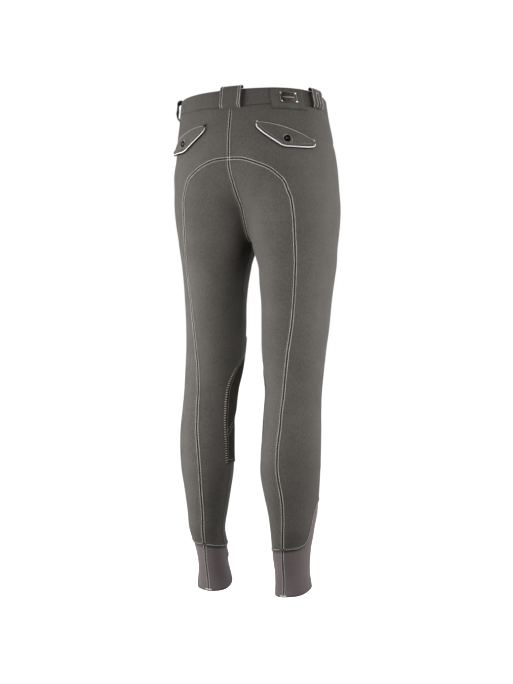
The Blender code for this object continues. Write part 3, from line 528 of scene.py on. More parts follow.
def shell(name, outer, inner, uv=None, shade=None, innerShade=None):
    # two grids of one size joined round the border, with the faces of the first looking out
    rows, columns = outer.shape[:2]
    total = rows * columns
    faces = gridFaces(rows, columns)
    ids = np.arange(total).reshape(rows, columns)
    border = np.concatenate([ids[0, :-1], ids[:-1, -1], ids[-1, :0:-1], ids[:0:-1, 0]])
    ahead = np.roll(border, -1)
    rim = np.stack([ahead, border, border + total, ahead + total], -1)
    row, column = rows // 2, columns // 2
    across = outer[row, column + 1] - outer[row, column]
    down = outer[row + 1, column] - outer[row, column]
    if np.dot(np.cross(across, down), outer[row, column] - inner[row, column]) < 0:
        faces, rim = faces[:, ::-1], rim[:, ::-1]
    faces = np.concatenate([faces, faces[:, ::-1] + total, rim])
    vertices = np.concatenate([outer.reshape(-1, 3), inner.reshape(-1, 3)])
    if uv is not None:
        uv = np.tile(uv.reshape(-1, 2), (2, 1))
    if shade is not None:
        # the inner face takes innerShade as its painted shade where that is given
        inside = shade.ravel() if innerShade is None else np.full(total, innerShade)
        shade = np.concatenate([shade.ravel(), inside])
    return meshFrom(name, vertices, faces, uv, shade)


def capsules(name, starts, ends, ups, radius, bow=0.0):
    # a run of thread for each start and end: rings of six, thin at both tips, bowed up by bow in the middle
    along = np.array([0.0, 0.06, 0.3, 0.7, 0.94, 1.0])
    girth = np.array([0.35, 0.8, 1.0, 1.0, 0.8, 0.35])
    ring = np.arange(6) * fullTurn / 6
    sideways = unit(np.cross(ups, unit(ends - starts)))
    centre = starts[:, None] + (ends - starts)[:, None] * along[None, :, None]
    centre = centre + (ups * bow)[:, None] * (1 - (2 * along - 1) ** 2)[None, :, None]
    around = sideways[:, None] * np.cos(ring)[None, :, None] + ups[:, None] * np.sin(ring)[None, :, None]
    vertices = centre[:, :, None] + around[:, None] * (radius * girth)[None, :, None, None]
    first = np.array([[0, 1, 2, 3], [0, 3, 4, 5]])
    last = 6 * (len(along) - 1) + np.array([[3, 2, 1, 0], [5, 4, 3, 0]])
    faces = np.concatenate([gridFaces(len(along), 6, across=True), first, last])[:, ::-1]
    faces = (faces[None] + (np.arange(len(starts)) * 6 * len(along))[:, None, None]).reshape(-1, 4)
    return meshFrom(name, vertices.reshape(-1, 3), faces)


def roundCord(name, centre, first, second, radius):
    # a ring of twelve carried along the centre line, closed to a point at both ends
    count, ringCount = len(centre), 12
    ring = np.arange(ringCount) * fullTurn / ringCount
    around = first[:, None] * np.cos(ring)[None, :, None] + second[:, None] * np.sin(ring)[None, :, None]
    vertices = (centre[:, None] + around * radius[:, None, None]).reshape(-1, 3)
    ends = np.array([[0, 3, 2, 1], [0, 5, 4, 3], [0, 7, 6, 5], [0, 9, 8, 7], [0, 11, 10, 9]])
    faces = gridFaces(count, ringCount, across=True)
    faces = np.concatenate([faces, ends, (count - 1) * ringCount + ends[:, ::-1]])
    corners = vertices[faces[count * ringCount // 2]]
    facing = np.cross(corners[1] - corners[0], corners[3] - corners[0])
    if np.dot(facing, corners.mean(0) - centre[count // 2]) < 0:
        faces = faces[:, ::-1]
    return meshFrom(name, vertices, faces)


def joined(rows):
    return [np.concatenate([row[k] for row in rows]) for k in range(3)]


def besidePath(path, ups, offset):
    # the path moved sideways on the cloth
    return path + unit(np.cross(ups, unit(np.gradient(path, axis=0)))) * offset


def onGrid(grid, row, column):
    # value of a grid between its cells, at rows and columns that need not be whole
    row = np.clip(row, 0, grid.shape[0] - 1.001)
    column = np.clip(column, 0, grid.shape[1] - 1.001)
    j, i = row.astype(int), column.astype(int)
    v, u = (row - j)[:, None], (column - i)[:, None]
    top = grid[j, i] * (1 - u) + grid[j, i + 1] * u
    return top * (1 - v) + (grid[j + 1, i] * (1 - u) + grid[j + 1, i + 1] * u) * v


def borderDistance(points):
    # lengths along the grid's own lines from its first and last row and its first and last column
    down = lengths(points)
    across = np.moveaxis(lengths(np.moveaxis(points, 1, 0)), 0, 1)
    return down, down[-1:] - down, across, across[:, -1:] - across


def placesAway(distance, away, lines):
    # how far along each of these grid rows the distance from the border has grown to away
    return np.array([np.interp(away, distance[int(k)], np.arange(distance.shape[1])) for k in lines])


def rolled(distance, radius, depth):
    # quarter round: falls by depth over the last radius before an edge
    t = 1 - np.clip(distance / radius, 0, 1)
    return depth * (np.sqrt(np.maximum(1 - t * t, 0)) - 1)


def weaveMap(angle, height):
    # the cloth's own millimetres: mean radius times angle across, height along
    girth = (section("halfWidth", height) + (section("back", height) + section("front", height)) / 2) / 2
    return np.stack([girth * angle, height], -1)


# Materials

def linear(hexColour):
    # sRGB hex to the linear colour that the shader takes
    values = np.array([int(hexColour[k: k + 2], 16) for k in (1, 3, 5)]) / 255
    values = np.where(values <= 0.04045, values / 12.92, ((values + 0.055) / 1.055) ** 2.4)
    return (*[float(v) for v in values], 1.0)


def addNode(tree, kind, settings=(), links=()):
    # a node with its inputs or properties set by name, and its inputs joined to (node, output)
    node = tree.nodes.new("ShaderNode" + kind)
    for key, value in dict(settings).items():
        if not isinstance(key, int) and hasattr(node, key):
            setattr(node, key, value)
        else:
            node.inputs[key].default_value = value
    for key, (source, output) in dict(links).items():
        tree.links.new(source.outputs[output], node.inputs[key])
    return node


def newMaterial(name):
    material = bpy.data.materials.new(name)
    material.use_nodes = True
    return material, material.node_tree, material.node_tree.nodes["Principled BSDF"]


def waveScale(pitch):
    # the wave texture's scale for one band in each pitch
    return fullTurn / 20 / (pitch * mm)


def dress(tree, shader, look, grain, span, overlays, reliefs, values):
    # colour from dark to light by the grain, darkened by each overlay at its strength, and turned to the
    # shade-and-wear colour where the piece's shade attribute is full: painted shade on the cloth, the
    # rubbed bright metal on the plate; then each relief pressed into the one before
    colour = addNode(tree, "ValToRGB", {}, {0: (grain, 0)})
    for stop, position, key in zip(colour.color_ramp.elements, span, ("dark", "light")):
        stop.position, stop.color = position, linear(look[key])
    output = 0
    for strength, source in overlays:
        colour = addNode(tree, "Mix", {"data_type": "RGBA", "blend_type": "MULTIPLY", 0: strength},
                         {6: (colour, output), 7: (source, 0)})
        output = 2
    paintedShadeAndWear = addNode(tree, "Attribute", {"attribute_name": "shade"})
    shadeAndWearColour = {"data_type": "RGBA", 7: linear(look.get("shadeAndWearColour", look["light"]))}
    colour = addNode(tree, "Mix", shadeAndWearColour, {0: (paintedShadeAndWear, 2), 6: (colour, output)})
    tree.links.new(colour.outputs[2], shader.inputs["Base Color"])
    links = {}
    for strength, depth, source in reliefs:
        links["Height"] = (source, 0)
        bump = addNode(tree, "Bump", {"Strength": strength, "Distance": depth * mm}, links)
        links = {"Normal": (bump, 0)}
    tree.links.new(bump.outputs[0], shader.inputs["Normal"])
    for key, value in values.items():
        shader.inputs[key].default_value = value


def wovenTwill(name, look):
    # woven stretch cotton twill: fine slanted ribs, a brushed nap that pales at grazing angles, faint
    # slubs along the warp and slow shading from wear and pressing
    material, tree, shader = newMaterial(name)
    coords = addNode(tree, "UVMap", {"uv_map": "weave"})
    place = {"Vector": (addNode(tree, "TexCoord"), "Object")}
    slant = (0, 0, math.radians(look["twillSlant"]))
    twill = addNode(tree, "Mapping", {"Rotation": slant}, {"Vector": (coords, 0)})
    ribs = addNode(
        tree, "TexWave",
        {"Scale": waveScale(look["twillPitch"]), "Distortion": 0.6, "Detail": 1.0, "Detail Scale": 3.0},
        {"Vector": (twill, 0)},
    )
    nap = addNode(
        tree, "TexNoise", {"Scale": 1 / (look["napSize"] * mm), "Detail": 3.0, "Roughness": 0.65}, place,
    )
    slubMap = addNode(tree, "Mapping", {"Scale": (1.0, 0.3, 1.0)}, {"Vector": (coords, 0)})
    slubs = addNode(
        tree, "TexNoise", {"Scale": 1 / (look["slubWidth"] * mm), "Detail": 2.0}, {"Vector": (slubMap, 0)},
    )
    cloud = addNode(tree, "TexNoise", {"Scale": 1 / (look["cloudSize"] * mm), "Detail": 2.0}, place)
    grain = addNode(tree, "Mix", {"data_type": "FLOAT", 0: look["slubShare"]}, {2: (nap, 0), 3: (slubs, 0)})
    pressed = addNode(tree, "MapRange", {1: 0.3, 2: 0.7, 3: 1 - look["cloudDepth"], 4: 1.0}, {0: (cloud, 0)})
    rough = addNode(tree, "MapRange", {3: look["rough"][0], 4: look["rough"][1]}, {0: (nap, 0)})
    tree.links.new(rough.outputs[0], shader.inputs["Roughness"])
    overlays = ((1.0, pressed), (look["twillDepth"], ribs))
    reliefs = ((look["ribBump"], 0.22, ribs), (look["napBump"], 0.35, grain))
    dress(tree, shader, look, grain, (0.34, 0.66), overlays, reliefs, {
        "Metallic": 0.0, "IOR": 1.46, "Specular IOR Level": 0.22, "Sheen Weight": look["sheen"],
        "Sheen Roughness": 0.42, "Sheen Tint": linear(look["sheenTint"]),
    })
    return material


def ribKnit(name, look):
    # stretch rib knit: upright ribs of loops, softer and paler than the twill
    material, tree, shader = newMaterial(name)
    coords = addNode(tree, "UVMap", {"uv_map": "weave"})
    ribs = addNode(
        tree, "TexWave", {"Scale": waveScale(look["ribPitch"]), "Distortion": 0.4, "Detail": 1.0},
        {"Vector": (coords, 0)},
    )
    turned = addNode(tree, "Mapping", {"Rotation": (0, 0, math.pi / 2)}, {"Vector": (coords, 0)})
    courses = addNode(
        tree, "TexWave", {"Scale": waveScale(look["coursePitch"]), "Distortion": 1.2, "Detail": 1.0},
        {"Vector": (turned, 0)},
    )
    nap = addNode(
        tree, "TexNoise", {"Scale": 1 / (look["napSize"] * mm), "Detail": 3.0},
        {"Vector": (addNode(tree, "TexCoord"), "Object")},
    )
    reliefs = ((look["ribBump"], 0.4, ribs), (look["courseBump"], 0.3, courses))
    dress(tree, shader, look, nap, (0.3, 0.7), ((look["ribDepth"], ribs),), reliefs, {
        "Roughness": 0.9, "Metallic": 0.0, "Specular IOR Level": 0.2, "Sheen Weight": look["sheen"],
        "Sheen Roughness": 0.5, "Sheen Tint": linear(look["sheenTint"]),
    })
    return material


def brushedSuede(name, look):
    # microfibre suede: short pile brushed in patches, so it reads light and dark by turns
    material, tree, shader = newMaterial(name)
    place = {"Vector": (addNode(tree, "TexCoord"), "Object")}
    pile = addNode(
        tree, "TexNoise", {"Scale": 1 / (look["pileSize"] * mm), "Detail": 4.0, "Roughness": 0.7}, place,
    )
    strokes = addNode(
        tree, "TexNoise", {"Scale": 1 / (look["strokeSize"] * mm), "Detail": 2.0, "Distortion": 0.8}, place,
    )
    blend = addNode(tree, "Mix", {"data_type": "FLOAT", 0: 0.5}, {2: (pile, 0), 3: (strokes, 0)})
    dress(tree, shader, look, blend, (0.35, 0.65), (), ((0.35, 0.4, pile),), {
        "Roughness": 0.93, "Metallic": 0.0, "Specular IOR Level": 0.15, "Sheen Weight": look["sheen"],
        "Sheen Roughness": 0.35, "Sheen Tint": linear(look["light"]),
    })
    return material


def plainFinish(name, look):
    # one colour with slow unevenness and a fine grain: thread, satin cord, plastic or worn metal
    material, tree, shader = newMaterial(name)
    uneven = addNode(
        tree, "TexNoise", {"Scale": 1 / (look["grain"] * mm), "Detail": 3.0, "Roughness": 0.6},
        {"Vector": (addNode(tree, "TexCoord"), "Object")},
    )
    rough = addNode(tree, "MapRange", {3: look["rough"] - 0.06, 4: look["rough"] + 0.06}, {0: (uneven, 0)})
    tree.links.new(rough.outputs[0], shader.inputs["Roughness"])
    dress(tree, shader, look, uneven, (0.35, 0.65), (), ((look["bump"], 0.2, uneven),), look["shader"])
    return material


finishes = {
    # the real twill has a rib every 0.5 mm; at 1.6 mm it just shows from a step away
    "twill": wovenTwill("wovenStretchCottonTwill", {
        "dark": "#44413D", "light": "#5A5652", "shadeAndWearColour": "#171514", "sheenTint": "#C9C5C0", "sheen": 0.35,
        "rough": (0.78, 0.94), "twillSlant": 62.0, "twillPitch": 1.6, "twillDepth": 0.22, "ribBump": 0.5,
        "napBump": 0.5, "napSize": 2.4, "slubWidth": 1.9, "slubShare": 0.42,
        "cloudSize": 42.0, "cloudDepth": 0.14,
    }),
    "knit": ribKnit("stretchRibKnit", {
        "dark": "#5B5253", "light": "#6E6465", "shadeAndWearColour": "#1E1B1B", "sheenTint": "#D0C8C4", "sheen": 0.4,
        "ribPitch": 1.9, "coursePitch": 1.4, "ribDepth": 0.16, "ribBump": 0.5, "courseBump": 0.35,
        "napSize": 1.4,
    }),
    "suede": brushedSuede("microfibreSuede", {
        "dark": "#221D18", "light": "#312A23", "shadeAndWearColour": "#12100E", "pileSize": 0.9, "strokeSize": 14.0,
        "sheen": 0.35,
    }),
    "patchCloth": brushedSuede("brushedPatchCloth", {
        "dark": "#44423D", "light": "#52504A", "shadeAndWearColour": "#1C1A18", "pileSize": 1.0, "strokeSize": 18.0,
        "sheen": 0.25,
    }),
    "thread": plainFinish("polyesterThread", {
        "dark": "#BDB8B0", "light": "#DAD6CF", "grain": 1.2, "rough": 0.55, "bump": 0.15,
        "shader": {"Specular IOR Level": 0.4, "Sheen Weight": 0.1},
    }),
    "softThread": plainFinish("greyPolyesterThread", {
        "dark": "#77736C", "light": "#94908A", "grain": 1.2, "rough": 0.6, "bump": 0.15,
        "shader": {"Specular IOR Level": 0.35},
    }),
    # painted shadow: a black cord under each flap's piping
    "shadowCord": plainFinish("blackShadowCord", {
        "dark": "#0E0D0C", "light": "#191817", "grain": 1.0, "rough": 0.9, "bump": 0.2,
        "shader": {"Specular IOR Level": 0.1},
    }),
    "darkThread": plainFinish("darkPolyesterThread", {
        "dark": "#131110", "light": "#1F1C1A", "grain": 1.2, "rough": 0.6, "bump": 0.15,
        "shader": {"Specular IOR Level": 0.35},
    }),
    "satin": plainFinish("satinPipingCord", {
        "dark": "#CDCDCD", "light": "#E6E6E7", "grain": 1.6, "rough": 0.4, "bump": 0.2,
        "shader": {"Specular IOR Level": 0.4, "Sheen Weight": 0.15, "Anisotropic": 0.3},
    }),
    "button": plainFinish("castPolyesterButton", {
        "dark": "#050404", "light": "#0A0909", "grain": 3.0, "rough": 0.34, "bump": 0.05,
        "shader": {"IOR": 1.5, "Specular IOR Level": 0.035},
    }),
    # dull dark field, near silver on the proudest points
    "metal": plainFinish("oxidisedBronzePlate", {
        "dark": "#302A27", "light": "#4A423D", "shadeAndWearColour": "#E6DCD4", "grain": 2.4, "rough": 0.42, "bump": 0.3,
        "shader": {"Metallic": 1.0},
    }),
}


def finished(piece, finish, nodes=()):
    # gives a piece its finish, its body and the solids it stands for
    piece.data.materials.append(finishes[finish])
    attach(piece, "root")
    if nodes:
        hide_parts(*nodes)


def layCloth(
    name, node, faces, chart, shade=None, innerShade=None, finish="twill", slot="breeches_cloth", **sheet
):
    # a piece of cloth from its outer and inner face, in place of its solid
    finished(shell(name, *faces, chart, shade, innerShade), finish, [node])


def raised(points, out, rise, wall):
    # outer face raised by rise, over a plain inner face
    return points + out * rise[..., None], points - out * wall


thread = {"radius": 0.41, "pitch": 3.1, "gap": 0.55}


def threadRow(path, ups, pitch=thread["pitch"], gap=thread["gap"]):
    # starts, ends and ups of stitches of one pitch along a path
    reach = lengths(path)
    count = max(int(reach[-1] // pitch), 1)
    first = (np.arange(count) * reach[-1] / count) + gap / 2
    last = first + reach[-1] / count - gap
    ups = unit(valuesAt((first + last) / 2, reach, ups))
    return valuesAt(first, reach, path), valuesAt(last, reach, path), ups


def threadOnGrid(points, out, rows, columns, lift, pitch=thread["pitch"], gap=thread["gap"]):
    ups = unit(onGrid(out, rows, columns))
    return threadRow(onGrid(points, rows, columns) + ups * lift, ups, pitch, gap)


def sew(name, rows, radius=thread["radius"], bow=0.1, finish="thread"):
    # one piece of thread from all these rows of stitches
    finished(capsules(name, *joined(rows), radius, bow), finish)


print("materials ready")


# Legs and seat

seam = {
    "rise": 0.85,          # what the turned-in layers lift the cloth
    "breadth": 6.2,        # how wide they are on each side
    "fade": 2.4,
    "groove": 1.3,         # depth of the sewn line
    "grooveWidth": 0.9,
    "threadAway": 2.5,     # sewing each side of the seam
    "threadSink": 0.35,
    "threadWidth": 0.8,
    "archThread": 0.12,    # height of the threads' middle over the cloth
    "centreThread": 0.15,
    "cuffThread": 0.75,
    "centreTop": -16.5,    # the centre back's thread starts here
    "pucker": 0.22,
    "puckerSpan": 7.5,
    "puckerReach": 6.0,
    # an inseam or centre front without sewing on top: how much it rises and from where to where it fades,
    # then the width and depth of its line
    "plainRise": (0.3, 3.0, 9.0),
    "plainGroove": (0.8, 0.9),
    # width and depth of the painted shadows: in the sewn line, in a plain one, on the leg beside the
    # knee patch, and under the waistband
    "shade": (1.25, 1.0),
    "plainShade": (0.9, 0.35),
    "patchShade": (2.6, 0.6),
    "waistShade": (1.0, 0.6),
    # the upper cloth's edge over the cuff: its turned-in layer, the roll at the cut and the thread's groove
    "lap": (0.9, 5.0, 8.0),
    "lapRoll": (1.2, 1.1),
    "lapThread": 2.6,
    "lapGroove": (0.8, 0.3),
}
seeds = {"arch": 11, "centre": 31, "cuff": 51}      # of the puckers, with the side added


def seamRise(distance, place, seed):
    # turned-in layers, less a narrow groove at the seam and a shallow one under the thread, with puckers
    besideThread = distance - seam["threadAway"]
    layers = ledge(distance, seam["rise"], seam["breadth"] - seam["fade"], seam["breadth"])
    pull = bell(besideThread, seam["threadWidth"], seam["threadSink"])
    phase = place * fullTurn / seam["puckerSpan"] + 3.0 * wander(place, seed)
    size = seam["pucker"] * (0.55 + 0.45 * wander(place, seed + 7))
    pucker = size * np.sin(phase) * bell(besideThread, seam["puckerReach"])
    return layers - bell(distance, seam["grooveWidth"], seam["groove"]) - pull + pucker


def threadLift(path, seed):
    # height of the cloth under a row of thread beside a seam
    return seamRise(np.full(len(path), seam["threadAway"]), lengths(path), seed)


# outline of the patch inside each knee: height, back edge, front edge
kneeOutline = np.array((
    (-734.0, 142.0, 262.0), (-687.0, 141.4, 265.0), (-640.0, 138.2, 268.0), (-600.0, 138.0, 269.0),
    (-565.0, 141.0, 267.0), (-545.0, 147.5, 263.0), (-528.0, 160.0, 256.0), (-509.0, 184.0, 245.0),
    (-490.0, 197.0, 233.0), (-475.0, 203.0, 222.0),
))
kneeLow, kneeHigh = kneeOutline[0, 0], kneeOutline[-1, 0]


def kneeEdges(level):
    # angles of the patch's back and front edge
    return [np.radians(smoothCurve(kneeOutline[:, 0], kneeOutline[:, k], level)) for k in (1, 2)]


def kneeRim(side):
    # the patch's outline on the leg: up its back edge, over the top, down its front edge
    level = np.linspace(kneeLow, kneeHigh, 90)
    back, front = kneeEdges(level)
    over = np.linspace(back[-1], front[-1], 20)
    under = np.linspace(front[0], back[0], 40)
    angle = np.concatenate([back, over, front[::-1], under])
    height = np.concatenate([level, np.full(20, kneeHigh), level[::-1], np.full(40, kneeLow)])
    return onCloth(angle, height, side)[0]


def archPoints(side):
    # every third point of the arched seam, near enough to measure distances from
    archAngle, archHeight = archLine(side)
    return onCloth(archAngle[::3], archHeight[::3], side)[0]


def panelRelief(points, side, closing):
    # the sewn seams with threads, the plain seam at the closing edge, painted shade in seams and by the knee
    # patch
    height = np.linspace(backTop + 6, crotchHeight - 2, 130)
    nearArch, placeArch = nearestOn(points, archPoints(side))
    nearCentre, placeCentre = nearestOn(points, onCloth(backEnd(height), height, side)[0])
    rise = np.where(
        nearArch < nearCentre,
        seamRise(nearArch, placeArch, seeds["arch"] + side),
        seamRise(nearCentre, placeCentre, seeds["centre"] + side),
    )
    nearClosing, _ = nearestOn(points, closing)
    plain = ledge(nearClosing, *seam["plainRise"]) - bell(nearClosing, *seam["plainGroove"])
    # painted shade: darker in the sewn and plain seam lines, and a painted shadow on the leg round the knee
    # patch
    shade = bell(np.minimum(nearArch, nearCentre), *seam["shade"]) + bell(nearClosing, *seam["plainShade"])
    nearPatch, _ = nearestOn(points, kneeRim(side))
    shade = np.maximum(shade, bell(nearPatch, *seam["patchShade"]))
    below = borderDistance(points)[1]
    lap = ledge(below, *seam["lap"]) + rolled(below, *seam["lapRoll"])
    lap = lap - bell(below - seam["lapThread"], *seam["lapGroove"])
    return rise + plain + lap, np.clip(shade, 0, 1)


# Rows and columns with three numbers, here and below: how many steps, how long the end ones are beside the
# middle ones, and the share over which they grow. Cut and area are the flat piece's, in metres and square
# metres. A roll is a radius and a depth; a groove or a shade is a width and a depth.
panels = {
    "outer": {
        "rows": (286, 0.35, 0.03), "columns": (136, 0.2, 0.11), "start": 0.0, "under": "waistband_",
        "cut": (0.46, 0.93), "area": {1: 0.286, -1: 0.278},
    },
    "seat": {
        "rows": (236, 0.35, 0.03), "columns": (52, 0.22, 0.16), "start": apexRow + 0.01,
        "under": "outerPanel_", "cut": (0.15, 0.86), "area": {1: 0.081, -1: 0.088},
    },
}
# how the columns of a panel turn to those of the cuff, and how the rows come to lie along both cut edges
grading = {"cuffStart": 0.35, "cuffSpan": 0.45, "waistRows": 8.0, "waistPower": 1.3, "cuffPower": 1.4}


def panelGrid(kind, side, rows, columns):
    # from the arched seam: the outer panel forward round the leg, the seat panel back to the middle
    back, front, rise = panelEdges(side, rows)
    shareBack = (backEnd(back[1]) - back[0]) / (backEnd(back[1]) - frontEnd(back[1]))
    if kind == "outer":
        along = (cuffColumns[0] - cuffColumns) / (cuffColumns[0] - cuffColumns[-1])
        atCuff = smoothCurve(np.linspace(0, 1, len(cuffColumns)), along, columns)
        blend = np.clip((rows / cuffRow - grading["cuffStart"]) / grading["cuffSpan"], 0, 1) ** 2
        u = columns[None, :] + (atCuff - columns)[None, :] * blend[:, None]
        share = shareBack[:, None] * (1 - u) + u
        heights = back[1][:, None] * (1 - u) + front[1][:, None] * u
        high = np.clip(1 - rows / grading["waistRows"], 0, 1) ** grading["waistPower"]
        heights = levelled(heights, angleAt(share, heights), waistSeam, high, 0)
    else:
        share = shareBack[:, None] * (1 - columns)[None, :]
        heights = back[1][:, None] * (1 - columns) + rise[1][:, None] * columns
    kneeRow = float(np.interp(-garment["kneeLevel"], -back[1], rows))
    low = np.clip((rows - kneeRow) / (cuffRow - kneeRow), 0, 1) ** grading["cuffPower"]
    heights = levelled(heights, angleAt(share, heights), cuffSeam, low, -1)
    return angleAt(share, heights), heights


def meetOnMiddle(points, out, rows, column):
    # puts an end column exactly on the middle plane, so that the two sides close without a slit
    points[rows, column, 0] = 0.0
    out[rows, column, 0] = 0.0


def sideWord(side):
    return "left" if side > 0 else "right"


def makePanel(kind, side):
    word, panel = sideWord(side), panels[kind]
    rows = panel["start"] + gradedMarks(*panel["rows"]) * (cuffRow - panel["start"])
    angles, heights = panelGrid(kind, side, rows, gradedMarks(*panel["columns"]))
    points, out = onCloth(angles, heights, side)
    meetOnMiddle(points, out, rows <= apexRow, 0)
    meetOnMiddle(points, out, rows <= seatRow, -1)
    closing = points[:, -1] if kind == "outer" else points[rows > seatRow, -1]
    rise, shade = panelRelief(points, side, closing[::3])
    # the outer panel also gets a painted shadow along its top edge, under the waistband
    if kind == "outer":
        shade = np.maximum(shade, bell(borderDistance(points)[0], *seam["waistShade"]))
    layCloth(
        kind + "Panel_" + word, kind + "_panel_" + word, raised(points, out, rise, garment["clothWall"]),
        weaveMap(angles, heights), shade, flat=panel["cut"], area=panel["area"][side], held="stretched",
        rests_on=[panel["under"] + word],
    )
    return angles, heights


# Cuffs

cuff = {
    "rows": (70, 0.4, 0.06), "cut": (0.27, 0.17), "area": 0.0285,
    "lap": 1.5, "sink": 0.2, "wideSink": (60.0, 0.3), "topSink": (5.0, 0.9),     # under the upper cloth
    "hemRoll": (1.4, 0.9), "hemLayer": (0.35, 14.0, 16.0),      # the turned-up hem: how thick, where it ends
    # painted shadows: under the upper cloth's edge, along the hem's bottom edge and in the back seam's line
    "shade": (4.0, 0.9), "hemShade": (2.4, 0.95), "seamShade": (1.5, 1.0),       # width and depth
    "reliefShare": 0.7, "seamFoot": (899.0, 903.0),
    "knitSink": 0.5,                                # the thread pulls deeper into the knit
    "tack": (15.0, 3.0, 5.0),                       # width, lowest and highest row over the hem
    "tackRows": 0.8, "tackThread": 0.5, "tackLift": 1.15, "radius": 39.0,
}


def hemHeight(angle):
    # the hem's line closes on itself at -167 and 193 degrees
    start = math.radians(-167)
    return edgeHeight(hemLine, (angle - start) % fullTurn + start)


def hemRise(above):
    return ledge(above, *cuff["hemLayer"])


def makeCuff(side, outerEdge, seatEdge):
    # from under the upper cloth to the hem, closed at the back seam
    around = np.concatenate([outerEdge[0], seatEdge[0][-2::-1] - fullTurn])
    top = np.concatenate([outerEdge[1], seatEdge[1][-2::-1]])
    archAngle, archHeight = archLine(side)
    t = gradedMarks(*cuff["rows"])[:, None]
    levels = (top[None, :] + cuff["lap"] * (1 - t)) * (1 - t) + hemHeight(around)[None, :] * t
    angles = around[None, :] + (np.interp(-levels[:, 0], -archHeight, archAngle) - around[0])[:, None]
    fromTop = levels - top[None, :]
    sunk = bell(fromTop, *cuff["wideSink"]) + cuff["sink"] + bell(fromTop, *cuff["topSink"])
    points, out = onCloth(angles, levels, side, -sunk)
    distance, place = nearestOn(points, archPoints(side))
    below = borderDistance(points)[1]
    rise = cuff["reliefShare"] * seamRise(distance, place, seeds["cuff"] + side)
    rise = rise + rolled(below, *cuff["hemRoll"]) + hemRise(below)
    # painted shade: in the back seam's line, under the upper cloth's edge and along the hem
    shade = bell(distance, *cuff["seamShade"]) + bell(fromTop, *cuff["shade"])
    shade = np.clip(shade + bell(below, *cuff["hemShade"]), 0, 1)
    word = sideWord(side)
    layCloth(
        "cuffKnit_" + word, "cuff_" + word, raised(points, out, rise, garment["clothWall"]),
        weaveMap(angles, levels), shade, finish="knit", slot="cuff_knit", flat=cuff["cut"], area=cuff["area"],
        held="stretched", rests_on=["outerPanel_" + word],
    )


def legSewing(side):
    # two rows of thread beside the arched seam down to the hem, one beside the centre back and one on the
    # cuff seam
    archAngle, archHeight = (values[::4] for values in archLine(side))
    path, out = onCloth(archAngle, archHeight, side)
    away = seam["threadAway"]
    onCuff = smoothStep(-path[:, 2], *cuff["seamFoot"])
    knitted = cuff["reliefShare"] * threadLift(path, seeds["cuff"] + side) - cuff["knitSink"]
    lift = threadLift(path, seeds["arch"] + side) * (1 - onCuff)
    lift = lift + (knitted + hemRise(path[:, 2] - hemHeight(archAngle))) * onCuff
    lift = out * (lift + seam["archThread"])[:, None]
    rows = [threadRow(besidePath(path, out, offset) + lift, out) for offset in (away, -away)]
    height = np.linspace(seam["centreTop"], crotchHeight + 4, 400)
    line, out = onCloth(backEnd(height, away), height, side)
    lift = threadLift(line, seeds["centre"] + side) + seam["centreThread"]
    rows.append(threadRow(line + out * lift[:, None], out))
    start = math.radians(90 if side > 0 else 73)
    angle = np.linspace(start, start - fullTurn, 500)
    wrapped = (angle + math.radians(215)) % fullTurn - math.radians(215)
    height = edgeHeight(cuffSeam, wrapped) + seam["lapThread"]
    rows.append(threadRow(*onCloth(angle, height, side, seam["cuffThread"])))
    sew("legSewing_" + sideWord(side), rows, bow=0.15)


def hemTack(side):
    # rows of close stitches along the hem across the back seam, which hold the turned-up seam down
    wide, low, high = cuff["tack"]
    angle = archLine(side)[0][-1] + np.linspace(-wide / 2, wide / 2, 25) / cuff["radius"]
    rows = [
        threadRow(*onCloth(angle, hemHeight(angle) + up, side, cuff["tackLift"]), wide / 2.01, 0.3)
        for up in np.arange(low, high, cuff["tackRows"])
    ]
    sew("hemTack_" + sideWord(side), rows, cuff["tackThread"], bow=0.25)


# Knee patches

kneePatch = {
    "rows": (110, 0.3, 0.04), "columns": (60, 0.25, 0.08), "lift": 0.65, "cut": (0.14, 0.27), "area": 0.031,
    # the shade is painted shade round the patch's edge
    "roll": (0.9, 0.8), "layer": (0.3, 6.0, 9.0), "groove": (0.7, 0.3), "shade": (0.7, 0.8),
    "tickPitch": 4.8, "tickOut": 2.4, "tickIn": 2.3, "tickRadius": 0.66, "tickLean": 0.12,     # overcast edge
    "innerRow": 7.0, "footRows": (1.8, 7.6), "threadRadius": 0.4, "pitch": (3.0, 0.7),
    "darts": (((146.0, -668.0), (166.0, -651.0)), ((147.0, -679.0), (167.0, -659.0))),
}


def contourRow(distance, away, first, last, count=160):
    # grid places along which the distance from one border is the same
    columns = np.linspace(first, last, count)
    return placesAway(distance.T, away, columns), columns


def overcastEdge(word, points, out, lift):
    # a stitch straight over the edge every few millimetres, from the leg's cloth onto the patch
    outline = np.concatenate([points[::-1, 0], points[0, 1:], points[1:, -1]])
    outs = np.concatenate([out[::-1, 0], out[0, 1:], out[1:, -1]])
    reach = lengths(outline)
    marks = np.arange(kneePatch["tickPitch"] / 2, reach[-1], kneePatch["tickPitch"])
    line, ups = valuesAt(marks, reach, outline), unit(valuesAt(marks, reach, outs))
    course = unit(np.gradient(line, axis=0))
    inward = unit(np.cross(ups, course))
    probe = len(line) // 8
    inward = inward * np.sign(np.dot(inward[probe], points[len(points) // 2, 20] - line[probe]))
    lean = course * kneePatch["tickLean"]
    outer = line - inward * kneePatch["tickOut"] - ups * (lift - 0.3) - lean
    laid = line + inward * kneePatch["tickIn"] + ups * 0.1 + lean
    sew("kneeOvercast_" + word, [(outer, laid, ups)], kneePatch["tickRadius"], bow=0.75)


